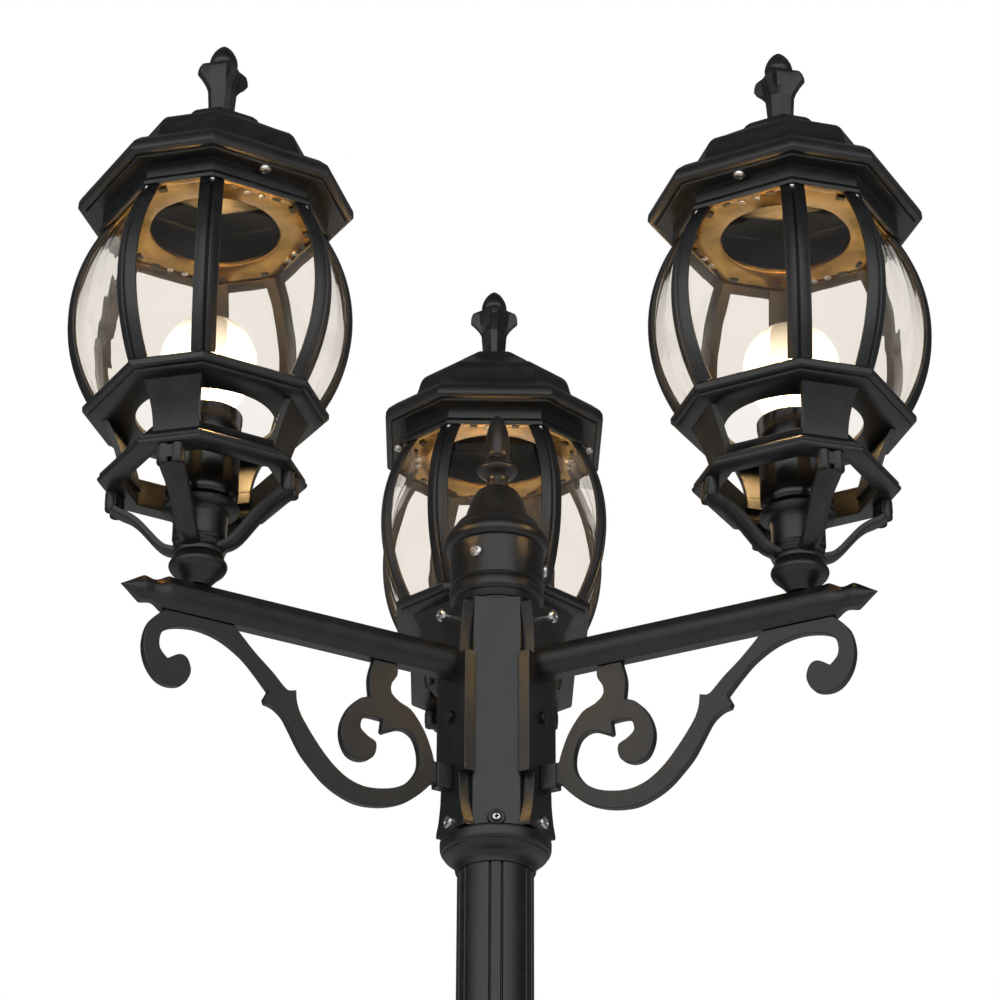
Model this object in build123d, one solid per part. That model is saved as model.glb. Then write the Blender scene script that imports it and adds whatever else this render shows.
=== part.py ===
from build123d import *
import os
from math import cos, degrees, radians, sin, sqrt

# Garden lamp post with three lanterns on scrolled arms, in millimetres, +Z up.
# The origin is the middle of the base's underside.  Each piece is drawn from its own
# seat upwards and set on the piece that carries it, so a height in the post is the
# sum of the pieces below it.  Arms and lanterns are drawn along +X and then turned.

# ------------------------------------------------------------------ driving sizes
ARM_DIRECTIONS = {"left": 210, "right": 330, "back": 90}
ARM_REACH = 210.0
SEAT_GAP = 0.3
SLIDE_GAP = 0.15
SHANK_GAP = 0.15

# Post
BASE_FLANGE_RADIUS = 125.0
BASE_FLANGE_THICKNESS = 12.0
BASE_HEIGHT = 320.0
BASE_WALL = 8.0
BASE_SOCKET_DEPTH = 40.0
ANCHOR_COUNT = 4
ANCHOR_CIRCLE_RADIUS = 105.0
ANCHOR_HOLE_RADIUS = 6.5
COLUMN_RADIUS = 23.6
COLUMN_BORE_RADIUS = 20.0
REED_COUNT = 6
REED_GROOVE_SPACING = 7.2
REED_GROOVE_WIDTH = 1.6
REED_GROOVE_DEPTH = 1.1
LOWER_COLUMN_LENGTH = 690.0
UPPER_COLUMN_LENGTH = 699.0
COUPLING_WEB = 8.0
COUPLING_SKIRT = 24.0
COUPLING_WALL = 4.0
SPIGOT_WALL = 3.0
SPIGOT_LENGTH = 160.0

# Hub
COLLAR_HEIGHT = 21.3
COLLAR_LIP_RADIUS = 34.5
COLLAR_SOCKET_DEPTH = 10.3
COLLAR_SPIGOT_LENGTH = 60.0
COLLAR_PLUG_HEIGHT = 22.0
HUB_APOTHEM = 25.3
HUB_HEIGHT = 154.5
HUB_BORE_RADIUS = 19.15
HUB_NECK_HEIGHT = 37.0
CAP_RADIUS = 30.0
CAP_BAND_FOOT = 16.0
CAP_BAND_TOP = 41.6
CAP_WALL = 4.0
CAP_HEIGHT = 87.7
CAP_SCREW_HEIGHT = 30.2
CAP_SCREW_COUNT = 3
CAP_SCREW_DIRECTION = 243.5
FOOT_SCREW_HEIGHT = 5.7
CABLE_WAY_RADIUS = 8.0
HUB_STUD_RADIUS = 3.0

# Arm
ARM_TOP_HEIGHT = 121.0
ARM_DEPTH = 20.0
ARM_WIDTH = 20.0
ARM_FLAT = 12.0
ARM_TAIL = 22.0
ARM_SPEAR = 27.6
PLATE_THICKNESS = 7.7
PLATE_HALF_WIDTH = 17.5
PLATE_HEIGHT = 150.0
PLATE_UPPER_SCALLOP = 34.5
PLATE_LOWER_SCALLOP = 35.0
SCALLOP_DEPTH = 6.5
BRACKET_THICKNESS = 5.5
BRACKET_FOOT_WIDTH = 8.0
PLATE_SCREW_HEIGHTS = {"foot": 5.7, "middle": 75.2, "top": 142.9}

# Screws
SCREW_SHANK_RADIUS = 2.0
SCREW_HEAD_RADIUS = 4.2
SCREW_HEAD_HEIGHT = 2.6

# Lantern, from the arm's top face upwards
WIDE_HALF_ANGLE = 27.4
NECK_HEIGHT = 19.3
NECK_BULGE_RADIUS = 17.8
NECK_SPIGOT_RADIUS = 5.0
NECK_SPIGOT_LENGTH = 12.0
LEG_FRAME_HEIGHT = 48.7
STEM_RADIUS = 16.6
STEM_HEIGHT = 39.7
CUP_RADIUS = 23.3
LEG_TOP_WIDTH = 16.0
LEG_ROOT_WIDTH = 9.0
BOSS_RADIUS = 4.2
BOSS_HEIGHT = 11.0
BOSS_SPACING = 8.8
BOSS_DISTANCE = 56.4
LEG_SCREW_RADIUS = 1.5
BASKET_HEIGHT = 53.5
BASKET_WAIST_RADIUS = 52.0
BASKET_BEAD_RADIUS = 64.2
PANEL_THICKNESS = 4.5
PANEL_TOP_HALF_WIDTH = 18.6
PANEL_MIDDLE_HALF_WIDTH = 15.6
PANEL_WAIST_HALF_WIDTH = 15.0
FLOOR_THICKNESS = 3.0
FLOOR_DEPTH = 5.5
FLOOR_HOLE_RADIUS = 43.0
CAGE_HEIGHT = 142.0
RIB_ARC_RADIUS = 121.0
RIB_WIDEST_RADIUS = 89.7
RIB_WIDEST_HEIGHT = 61.5
RIB_LEG = 8.4
RIB_THICKNESS = 3.0
RIB_GROOVE = 1.6
GLASS_THICKNESS = 2.5
GLASS_GAP = 0.8
REFLECTOR_THICKNESS = 1.2
REFLECTOR_HOLE_RADIUS = 41.0
REFLECTOR_DEPTH = 13.9
REFLECTOR_GAP = 1.0
CROWN_FLANGE = 3.4
CROWN_REACH = 10.3
ROOF_WALL = 3.0
ROOF_HEIGHT = 71.0
EAVE_SCREW_DISTANCE = 68.4
ROOF_BOSS_RADIUS = 4.5
FINIAL_HEIGHT = 56.2
FINIAL_EAR_RADIUS = 17.3
FINIAL_EAR_WIDTH = 8.6
FINIAL_STEM_HALF_WIDTH = 7.2
FINIAL_STEM_CHAMFER = 2.0
HOLDER_RADIUS = 23.0
HOLDER_HEIGHT = 58.0
HOLDER_WALL = 2.5
HOLDER_FOOT = 3.0
CORE_HEIGHT = 47.0
CORE_FLOOR = 14.0
CAP_THREAD_RADIUS = 13.2
BULB_RADIUS = 30.0
BULB_HEIGHT = 106.0
BULB_CAP_HEIGHT = 31.0

# ------------------------------------------------------------------ levels and fits
HALF_WIDE = radians(WIDE_HALF_ANGLE)
HALF_NARROW = radians(45 - WIDE_HALF_ANGLE)
SPIGOT_RADIUS = COLUMN_BORE_RADIUS - SLIDE_GAP
HOLE_RADIUS = SCREW_SHANK_RADIUS + SHANK_GAP
COLUMN_SEAT_RADIUS = COLUMN_RADIUS + SLIDE_GAP
HUB_NECK_RADIUS = CAP_RADIUS - CAP_WALL - SLIDE_GAP
PLUG_RADIUS = HUB_BORE_RADIUS - SLIDE_GAP
PLATE_FACE = HUB_APOTHEM + PLATE_THICKNESS

Z_LOWER_COLUMN = BASE_HEIGHT - BASE_SOCKET_DEPTH
Z_WEB = Z_LOWER_COLUMN + LOWER_COLUMN_LENGTH
Z_UPPER_COLUMN = Z_WEB + COUPLING_WEB
Z_COLLAR = Z_UPPER_COLUMN + UPPER_COLUMN_LENGTH - COLLAR_SOCKET_DEPTH
Z_HUB = Z_COLLAR + COLLAR_HEIGHT
Z_CAP = Z_HUB + HUB_HEIGHT
Z_ARM = Z_HUB + ARM_TOP_HEIGHT

Z_STEM = NECK_HEIGHT
Z_BASKET = Z_STEM + LEG_FRAME_HEIGHT
Z_CAGE = Z_BASKET + BASKET_HEIGHT
Z_ROOF = Z_CAGE + CAGE_HEIGHT + SEAT_GAP
Z_FINIAL = Z_ROOF + ROOF_HEIGHT
Z_REFLECTOR = Z_CAGE + CAGE_HEIGHT - REFLECTOR_DEPTH
Z_HOLDER = Z_STEM + STEM_HEIGHT
Z_CORE = Z_HOLDER + HOLDER_FOOT + HOLDER_WALL
Z_BULB = Z_CORE + CORE_FLOOR


def polar(radius, degrees_from_x):
    """Point of the plan at a radius and a direction."""
    angle = radians(degrees_from_x)
    return (radius * cos(angle), radius * sin(angle))


def rib_corner(height, inset=0.0):
    """Radius of the ribs' outer corner above their feet, or of an arc inside it."""
    rise = height - RIB_WIDEST_HEIGHT
    arc = RIB_ARC_RADIUS - inset
    return RIB_WIDEST_RADIUS - RIB_ARC_RADIUS + sqrt(arc * arc - rise * rise)


RIB_FOOT_RADIUS = rib_corner(0)
RIB_INSET = RIB_THICKNESS / cos(radians(22.5))
GLASS_INSET = RIB_INSET + GLASS_GAP
MIDDLE_RING_RADIUS = RIB_FOOT_RADIUS + 3.2
CROWN_RADIUS = rib_corner(CAGE_HEIGHT - REFLECTOR_DEPTH) + 2.2
FLANGE_RADIUS = CROWN_RADIUS + CROWN_REACH


# ------------------------------------------------------------------ shape helpers
def octagon(radius, height=0.0):
    """Lantern section: wide faces square to and along the arm, narrow ones between."""
    corners = []
    for quarter in (0, 90, 180, 270):
        corners.append(polar(radius, quarter - WIDE_HALF_ANGLE))
        corners.append(polar(radius, quarter + WIDE_HALF_ANGLE))
    return Pos(0, 0, height) * Polygon(*corners, align=None)


def tiers(profile):
    """Octagonal body whose corner follows a profile of (radius, height) points."""
    return Solid.make_loft([octagon(r, z).face().outer_wire() for r, z in profile], ruled=True)


def turned(profile):
    """Body of revolution about the Z axis inside a profile of (radius, height) points."""
    outline = Polyline(*[(r, 0, z) for r, z in profile], close=True)
    return revolve(make_face(outline), Axis.Z)


def rod(radius, length, z=0.0):
    """Upright cylinder standing on a height."""
    return Pos(0, 0, z) * Cylinder(radius, length, align=(Align.CENTER, Align.CENTER, Align.MIN))


def outline(*runs):
    """Closed face in the XZ plane from runs of points: two make a line, more a curve."""
    edges = []
    for run in runs:
        points = [(x, 0, z) for x, z in run]
        edges.append(Line(*points) if len(points) == 2 else Spline(*points))
    return make_face(Wire(edges))


def slab(face, thickness):
    """Plate of a face drawn in the XZ plane, centred on that plane."""
    return extrude(face, thickness / 2, dir=(0, 1, 0), both=True)


def turn(part, angle):
    """Part turned about the Z axis."""
    return Rot(0, 0, angle) * part


def screw(shank_length, bare_length=0.0):
    """Pan head screw pointing down -Z, its head's underside at the origin."""
    head = turned([
        (0, 0),
        (SCREW_HEAD_RADIUS, 0),
        (SCREW_HEAD_RADIUS, 0.4 * SCREW_HEAD_HEIGHT),
        (0.6 * SCREW_HEAD_RADIUS, SCREW_HEAD_HEIGHT),
        (0, SCREW_HEAD_HEIGHT),
    ])
    length = shank_length + bare_length
    return Pos(0, 0, bare_length) * (head + rod(SCREW_SHANK_RADIUS, length, -length))


def radial(part, distance, height, angle):
    """Part drawn along Z, laid down to point out from the post's axis."""
    return turn(Pos(distance, 0, height) * Rot(0, 90, 0) * part, angle)


# ------------------------------------------------------------------ post
def column(length):
    """Round tube with reeds along it, each between two fine grooves."""
    groove = Pos(COLUMN_RADIUS, 0) * Rectangle(2 * REED_GROOVE_DEPTH, REED_GROOVE_WIDTH)
    offset = degrees(REED_GROOVE_SPACING / 2 / COLUMN_RADIUS)
    section = Circle(COLUMN_RADIUS) - Circle(COLUMN_BORE_RADIUS)
    for i in range(REED_COUNT):
        middle = 360 / REED_COUNT * i + 30
        section -= [turn(groove, middle - offset), turn(groove, middle + offset)]
    return extrude(section, length)


def post_base():
    """Cast base: bolt flange, ogee bell, fillets and a socket for the column."""
    top = COLUMN_SEAT_RADIUS + BASE_WALL
    bell = BASE_FLANGE_RADIUS * 0.72
    shaft = top + 8
    flange = BASE_FLANGE_THICKNESS
    body = turned([
        (0, 0),
        (BASE_FLANGE_RADIUS, 0),
        (BASE_FLANGE_RADIUS, flange),
        (bell + 8, flange + 3),
        (bell + 6, flange + 10),
        (bell, flange + 14),
        (bell - 1.5, flange + 24),
        (bell - 6, flange + 34),
        (bell - 16, flange + 44),
        (shaft + 20, flange + 54),
        (shaft + 12, flange + 64),
        (shaft + 8, flange + 74),
        (shaft + 4, flange + 86),
        (shaft + 2, flange + 96),
        (shaft + 7, flange + 99),
        (shaft + 7, flange + 106),
        (shaft, flange + 112),
        (top, BASE_HEIGHT - 28),
        (top + 5, BASE_HEIGHT - 22),
        (top + 5, BASE_HEIGHT - 10),
        (top, BASE_HEIGHT),
        (0, BASE_HEIGHT),
    ])
    hollow = turned([
        (0, -1),
        (bell - BASE_WALL, -1),
        (bell - BASE_WALL - 4, flange + 18),
        (COLUMN_BORE_RADIUS, flange + 80),
        (COLUMN_BORE_RADIUS, BASE_HEIGHT),
        (0, BASE_HEIGHT),
    ])
    socket = rod(COLUMN_SEAT_RADIUS, BASE_SOCKET_DEPTH + 1, Z_LOWER_COLUMN)
    anchor = rod(ANCHOR_HOLE_RADIUS, flange + 40, -1)
    anchors = [
        turn(Pos(ANCHOR_CIRCLE_RADIUS, 0, 0) * anchor, 45 + 360 / ANCHOR_COUNT * i)
        for i in range(ANCHOR_COUNT)
    ]
    return body - hollow - socket - anchors


def column_coupling():
    """Moulded ring that covers the joint of the two columns, which butt on its web."""
    bore = COLUMN_SEAT_RADIUS
    outer = bore + COUPLING_WALL
    half = COUPLING_SKIRT + COUPLING_WEB / 2
    ring = turned([
        (SPIGOT_RADIUS + SLIDE_GAP, -COUPLING_WEB / 2),
        (bore, -COUPLING_WEB / 2),
        (bore, -half),
        (outer - 2, -half),
        (outer, -half + 4),
        (outer, -half + 10),
        (outer + 4, -6),
        (outer + 4, 6),
        (outer, half - 10),
        (outer, half - 4),
        (outer - 2, half),
        (bore, half),
        (bore, COUPLING_WEB / 2),
        (SPIGOT_RADIUS + SLIDE_GAP, COUPLING_WEB / 2),
    ])
    return Pos(0, 0, Z_WEB + COUPLING_WEB / 2) * ring


def column_spigot():
    """Inner sleeve that lines up the two columns."""
    sleeve = rod(SPIGOT_RADIUS, SPIGOT_LENGTH) - rod(SPIGOT_RADIUS - SPIGOT_WALL, SPIGOT_LENGTH)
    return Pos(0, 0, Z_WEB + COUPLING_WEB / 2 - SPIGOT_LENGTH / 2) * sleeve


# ------------------------------------------------------------------ hub
def hub_collar():
    """Turned collar between the column and the hub, with a spigot down and a plug up."""
    lip = COLLAR_LIP_RADIUS
    top = COLLAR_HEIGHT
    foot = COLUMN_SEAT_RADIUS
    body = turned([
        (CABLE_WAY_RADIUS, -COLLAR_SPIGOT_LENGTH),
        (SPIGOT_RADIUS, -COLLAR_SPIGOT_LENGTH),
        (SPIGOT_RADIUS, COLLAR_SOCKET_DEPTH),
        (foot, COLLAR_SOCKET_DEPTH),
        (foot, 0),
        (foot + 0.8, 0),
        (foot + 1.5, 3.2),
        (foot + 2.2, 5.2),
        (lip - 7, 6.6),
        (lip - 4.3, 8.2),
        (lip - 2, 10.6),
        (lip - 1.2, 12.2),
        (lip - 0.3, 16.4),
        (lip, 18.8),
        (lip - 0.5, 20.6),
        (lip - 1.6, top),
        (PLUG_RADIUS, top),
        (PLUG_RADIUS, top + COLLAR_PLUG_HEIGHT),
        (CABLE_WAY_RADIUS, top + COLLAR_PLUG_HEIGHT),
    ])
    body = Pos(0, 0, Z_COLLAR) * body
    hole = rod(HOLE_RADIUS, PLUG_RADIUS - CABLE_WAY_RADIUS)
    for direction in ARM_DIRECTIONS.values():
        body -= radial(hole, CABLE_WAY_RADIUS, Z_HUB + FOOT_SCREW_HEIGHT, direction + 180)
        body -= radial(hole, CABLE_WAY_RADIUS, Z_HUB + PLATE_SCREW_HEIGHTS["foot"], direction)
    return body


def hub_casting():
    """Six-sided hub: three faces carry arms and a round neck takes the cap."""
    flats = RegularPolygon(HUB_APOTHEM, 6, major_radius=False, rotation=0)
    body = extrude(turn(flats, 0), HUB_HEIGHT) + rod(HUB_NECK_RADIUS, HUB_NECK_HEIGHT, HUB_HEIGHT)
    body -= rod(HUB_BORE_RADIUS, HUB_HEIGHT + HUB_NECK_HEIGHT)
    body = Pos(0, 0, Z_HUB) * body
    hole = rod(HOLE_RADIUS, 2 * CAP_RADIUS)
    for direction in ARM_DIRECTIONS.values():
        body -= radial(hole, 0, Z_HUB + FOOT_SCREW_HEIGHT, direction + 180)
        for height in PLATE_SCREW_HEIGHTS.values():
            body -= radial(hole, 0, Z_HUB + height, direction)
    for i in range(CAP_SCREW_COUNT):
        angle = CAP_SCREW_DIRECTION + 360 / CAP_SCREW_COUNT * i
        body -= radial(hole, 0, Z_CAP + CAP_SCREW_HEIGHT, angle)
    return body


def hub_cap():
    """Domed cover over the hub's neck, with stepped mouldings above and below its band."""
    edge = CAP_RADIUS
    foot = CAP_BAND_FOOT
    band = CAP_BAND_TOP
    peak = CAP_HEIGHT
    inner = CAP_RADIUS - CAP_WALL
    stud = HUB_STUD_RADIUS + SHANK_GAP
    shell = turned([
        (inner, SEAT_GAP),
        (inner + 0.8, SEAT_GAP),
        (inner + 1.4, 1.5),
        (inner + 1.6, foot - 11.6),
        (edge - 1.2, foot - 10.8),
        (edge + 0.1, foot - 8.8),
        (edge + 0.3, foot - 6.5),
        (edge, foot - 3.5),
        (edge - 0.8, foot - 1.4),
        (edge - 0.8, foot - 0.6),
        (edge, foot),
        (edge, band),
        (edge + 2.4, band + 0.8),
        (edge + 3.6, band + 3.4),
        (edge + 3.8, band + 5.4),
        (edge + 3.2, band + 8),
        (edge + 1.4, band + 11.4),
        (edge - 1.4, band + 14.6),
        (edge - 2.1, band + 15),
        (edge - 2.4, band + 15.8),
        (edge - 3.4, band + 17.8),
        (edge - 8, band + 22),
        (edge - 8.8, band + 23.3),
        (edge - 9.8, band + 26),
        (edge - 11.2, band + 30.6),
        (edge - 12.8, band + 35),
        (edge - 15.4, peak - 5.9),
        (edge - 16.4, peak - 4.1),
        (edge - 18.4, peak - 2.3),
        (edge - 21.6, peak - 0.5),
        (edge - 22, peak),
        (stud, peak),
        (stud, peak - 8),
        (inner - 14, peak - 10),
        (inner - 8, band + 19),
        (inner, band + 4),
    ])
    shell = Pos(0, 0, Z_CAP) * shell
    hole = rod(HOLE_RADIUS, 2 * CAP_RADIUS)
    for i in range(CAP_SCREW_COUNT):
        angle = CAP_SCREW_DIRECTION + 360 / CAP_SCREW_COUNT * i
        shell -= radial(hole, 0, Z_CAP + CAP_SCREW_HEIGHT, angle)
    return shell


def hub_finial():
    """Turned finial with a flared dish and a spear, its stud down through the cap."""
    shape = turned([
        (0, -12),
        (HUB_STUD_RADIUS, -12),
        (HUB_STUD_RADIUS, 0),
        (8, 0),
        (7.6, 1.4),
        (7.1, 2.4),
        (6.8, 5.4),
        (7.6, 7),
        (9.4, 8.6),
        (11.8, 10.4),
        (13.1, 12.2),
        (13.1, 13.6),
        (12.5, 14.8),
        (9.6, 17.2),
        (8, 19.4),
        (7.2, 20.2),
        (6.6, 21.2),
        (6.6, 22.4),
        (7.4, 23.6),
        (7.8, 27),
        (7.8, 34.4),
        (7.4, 38),
        (6.7, 41.8),
        (5, 48.1),
        (3.2, 51.9),
        (1, 53.8),
        (0, 54),
    ])
    return Pos(0, 0, Z_CAP + CAP_HEIGHT) * shape


def hub_screws():
    """Screws of the cap's band and of the hub's three free faces."""
    grip = HUB_NECK_RADIUS - HUB_BORE_RADIUS
    cap = [
        radial(
            screw(CAP_WALL + grip),
            CAP_RADIUS,
            Z_CAP + CAP_SCREW_HEIGHT,
            CAP_SCREW_DIRECTION + 360 / CAP_SCREW_COUNT * i,
        )
        for i in range(CAP_SCREW_COUNT)
    ]
    foot = [
        radial(
            screw(HUB_APOTHEM - CABLE_WAY_RADIUS - 1),
            HUB_APOTHEM,
            Z_HUB + FOOT_SCREW_HEIGHT,
            direction + 180,
        )
        for direction in ARM_DIRECTIONS.values()
    ]
    return Compound([*cap, *foot])


# ------------------------------------------------------------------ arms
def on_arm(part, direction):
    """Part drawn along +X below or above an arm's top face, set on its direction."""
    return turn(Pos(0, 0, Z_ARM) * part, direction)


def arm_section(x, scale=1.0):
    """Upright section of an arm: flat top, widest under it and drawn in below."""
    middle = -0.46 * ARM_DEPTH
    half = [
        (ARM_FLAT / 2, 0),
        (ARM_WIDTH / 2, -0.28 * ARM_DEPTH),
        (0.46 * ARM_WIDTH, -0.55 * ARM_DEPTH),
        (0.35 * ARM_WIDTH, -0.8 * ARM_DEPTH),
        (0.2 * ARM_WIDTH, -ARM_DEPTH),
    ]
    points = half + [(-y, z) for y, z in reversed(half)]
    scaled = [(y * scale, middle + (z - middle) * scale) for y, z in points]
    return Plane.YZ.offset(x) * Polygon(*scaled, align=None)


def arm_body():
    """Straight arm from the hub's plate, ending in a bead and a spear point."""
    end = ARM_REACH + ARM_TAIL
    stations = [(-6, 1.0), (0, 1.06), (0.25, 0.6), (0.53, 0.72), (1.0, 0.03)]
    tip = [arm_section(end + (s * ARM_SPEAR if s > 0 else s), scale) for s, scale in stations]
    bar = extrude(arm_section(PLATE_FACE), end - 6 - PLATE_FACE, dir=(1, 0, 0))
    bar += Solid.make_loft([section.face().outer_wire() for section in tip], ruled=True)
    socket = rod(NECK_SPIGOT_RADIUS + SLIDE_GAP, NECK_SPIGOT_LENGTH + 1, -NECK_SPIGOT_LENGTH)
    return bar - Pos(ARM_REACH, 0, 0) * socket


def arm_plate():
    """Mounting plate of an arm, scalloped on both sides above and below its middle."""
    half = PLATE_HALF_WIDTH
    waist = half - SCALLOP_DEPTH
    low = PLATE_LOWER_SCALLOP
    top = PLATE_HEIGHT
    high = top - PLATE_UPPER_SCALLOP
    edge = [
        Line((half - 1, 0, 0), (half - 1, 0, 3)),
        ThreePointArc((half - 1, 0, 3), (waist + 1, 0, 0.55 * low), (waist, 0, low)),
        Polyline((waist, 0, low), (half, 0, low), (half, 0, high), (waist, 0, high)),
        ThreePointArc((waist, 0, high), (waist + 1, 0, (high + top) / 2), (half - 2, 0, top)),
        Polyline((half - 2, 0, top), (0, 0, top), (0, 0, 0), (half - 1, 0, 0)),
    ]
    side = make_face(Wire([e for curve in edge for e in curve.edges()]))
    face = side + mirror(side, Plane.YZ)
    plate = extrude(face, PLATE_THICKNESS, dir=(0, 1, 0))
    plate = Pos(0, 0, Z_HUB) * Rot(0, 0, -90) * Pos(0, HUB_APOTHEM, 0) * plate
    for height in PLATE_SCREW_HEIGHTS.values():
        plate -= radial(rod(HOLE_RADIUS, PLATE_FACE), 0, Z_HUB + height, 0)
    return Pos(0, 0, -Z_ARM) * plate


def scroll_bracket():
    """Flat scrolled bracket under an arm: a long S with two curls and leaf spikes."""
    foot = PLATE_FACE
    face = outline(
        [(231, 0), (240.6, -10.3), (243.7, -24), (241, -36.5), (234, -45.4), (225.4, -48),
         (216.5, -45.2), (212.1, -36.5), (214.6, -28.4), (220, -26.6), (227.7, -31.1)],
        [(227.7, -31.1), (233, -25), (232.3, -15.6), (225, -10.2), (209.9, -7.7), (194, -10.5),
         (179.7, -18), (170.3, -26.1), (160.1, -36.9)],
        [(160.1, -36.9), (163, -42.6)],
        [(163, -42.6), (162, -45.3)],
        [(162, -45.3), (155.9, -46.8), (149.7, -51.3), (145, -58.2), (137, -70.9), (129.1, -79.3),
         (119.8, -87.4), (109, -93.1), (96.7, -96.3), (81.4, -95.1), (67.6, -90.5), (56.8, -83.3),
         (46, -72.5)],
        [(46, -72.5), (foot, -75)],
        [(foot, -75), (foot, -58.5)],
        [(foot, -58.5), (45.5, -58.5)],
        [(45.5, -58.5), (47.9, -50.7), (52.8, -39.9), (61.7, -28.5), (70.5, -24.4), (76.1, -19.7),
         (76.2, -13.8), (72.4, -7), (72.5, 0)],
        [(72.5, 0), (89, 0)],
        [(89, 0), (91.9, -12.8), (90.8, -25.2)],
        [(90.8, -25.2), (98.5, -28.4), (106, -36.7), (110.3, -47.8), (109.8, -58), (104.8, -66.5),
         (96, -68.4), (87.8, -64), (86.2, -55.1), (92.5, -51.3), (97.3, -46.5), (94, -39.2),
         (81.9, -38.8)],
        [(81.9, -38.8), (82.8, -46.3)],
        [(82.8, -46.3), (81, -47.4)],
        [(81, -47.4), (74.8, -44.3), (69.3, -42.3), (63.8, -43), (59, -47.1), (56, -56.8),
         (57, -66.5), (64, -76), (75, -82), (90.9, -84.7), (103, -82.5), (112, -77.5),
         (120.3, -70.3), (129.8, -59.3), (137.8, -48), (141, -40), (141.8, -32.5)],
        [(141.8, -32.5), (145.9, -33.7)],
        [(145.9, -33.7), (149.5, -32.5), (158.4, -24.1), (170.9, -13.8), (185, 0)],
        [(185, 0), (231, 0)],
    )
    hang = (Align.CENTER, Align.CENTER, Align.MAX)
    foot_block = Pos(foot + 5.5, 0, -58.5) * Box(11, BRACKET_FOOT_WIDTH, 16.5, align=hang)
    under_arm = Box(3 * ARM_REACH, ARM_WIDTH, ARM_REACH, align=hang)
    bracket = (slab(face, BRACKET_THICKNESS) & under_arm) + foot_block
    return Pos(0, 0, -ARM_DEPTH) * bracket - arm_body()


def arm_screws():
    """Screws of the three arm plates: foot and middle seated, the top one standing out."""
    grip = PLATE_FACE - HUB_BORE_RADIUS
    screws = []
    for direction in ARM_DIRECTIONS.values():
        for place, height in PLATE_SCREW_HEIGHTS.items():
            bare = 7.0 if place == "top" else 0.0
            screws.append(radial(screw(grip - 0.5, bare), PLATE_FACE, Z_HUB + height, direction))
    return Compound(screws)


# ------------------------------------------------------------------ lantern
def lantern_neck():
    """Turned neck on the arm: cone, bulge and a hidden spigot into the arm."""
    bulge = NECK_BULGE_RADIUS
    shape = turned([
        (0, SEAT_GAP - NECK_SPIGOT_LENGTH),
        (NECK_SPIGOT_RADIUS, SEAT_GAP - NECK_SPIGOT_LENGTH),
        (NECK_SPIGOT_RADIUS, 0),
        (8.3, 0),
        (9.6, 3),
        (13.2, 7),
        (16, 9.6),
        (bulge - 0.4, 11.6),
        (bulge, 13),
        (bulge - 0.3, 14.6),
        (bulge - 1.6, 16.6),
        (14.5, NECK_HEIGHT),
        (0, NECK_HEIGHT),
    ])
    return shape


def leg_frame():
    """Cast stem with rings and a cup, and four S-curved legs with paired screw bosses."""
    stem = turned([
        (0, 0),
        (14.5, 0),
        (15.5, 1.2),
        (15.6, 3.4),
        (14.5, 5.6),
        (14.1, 6.8),
        (14.5, 8.2),
        (STEM_RADIUS - 1.2, 9.8),
        (STEM_RADIUS, 11.2),
        (STEM_RADIUS, STEM_HEIGHT - 8),
        (STEM_RADIUS + 2.4, STEM_HEIGHT - 5),
        (CUP_RADIUS, STEM_HEIGHT - 3),
        (CUP_RADIUS, STEM_HEIGHT - 1),
        (CUP_RADIUS - 1, STEM_HEIGHT),
        (0, STEM_HEIGHT),
    ])
    top = LEG_FRAME_HEIGHT
    boss_foot = top - BOSS_HEIGHT
    boss_side = BOSS_DISTANCE - 2 * LEG_SCREW_RADIUS - SEAT_GAP
    side = outline(
        [(10, 1), (21, 3.2), (30, 10.7), (44, 25), (50, 30), (boss_side, boss_foot)],
        [(boss_side, boss_foot), (BOSS_DISTANCE, boss_foot)],
        [(BOSS_DISTANCE, boss_foot), (BOSS_DISTANCE, boss_foot + 5)],
        [(BOSS_DISTANCE, boss_foot + 5), (boss_side - 2, boss_foot + 5)],
        [(boss_side - 2, boss_foot + 5), (44, 35), (33, 24), (27, 17), (20, 10.6), (10, 8.5)],
        [(10, 8.5), (10, 1)],
    )
    taper = Polygon(
        (0, -LEG_ROOT_WIDTH / 2),
        (BOSS_DISTANCE + 6, -LEG_TOP_WIDTH / 2),
        (BOSS_DISTANCE + 6, LEG_TOP_WIDTH / 2),
        (0, LEG_ROOT_WIDTH / 2),
        align=None,
    )
    leg = slab(side, LEG_TOP_WIDTH) & extrude(taper, LEG_FRAME_HEIGHT)
    hole = LEG_SCREW_RADIUS + SHANK_GAP
    for y in (-BOSS_SPACING / 2, BOSS_SPACING / 2):
        leg += Pos(BOSS_DISTANCE, y, boss_foot) * rod(BOSS_RADIUS, BOSS_HEIGHT)
    for y in (-BOSS_SPACING / 2, BOSS_SPACING / 2):
        leg -= Pos(BOSS_DISTANCE, y, boss_foot) * rod(hole, BOSS_HEIGHT)
    return Pos(0, 0, Z_STEM) * (stem + [turn(leg, 45 + 90 * k) for k in range(4)])


def leg_screws():
    """Short screws up through the legs' paired bosses into the basket."""
    shank = LEG_SCREW_RADIUS
    foot = Z_BASKET - BOSS_HEIGHT
    one = rod(shank, BOSS_HEIGHT + 4, foot) + rod(2 * shank, 1.6, foot - 1.6)
    screws = []
    for k in range(4):
        for y in (-BOSS_SPACING / 2, BOSS_SPACING / 2):
            screws.append(turn(Pos(BOSS_DISTANCE, y, 0) * one, 45 + 90 * k))
    return screws


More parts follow.
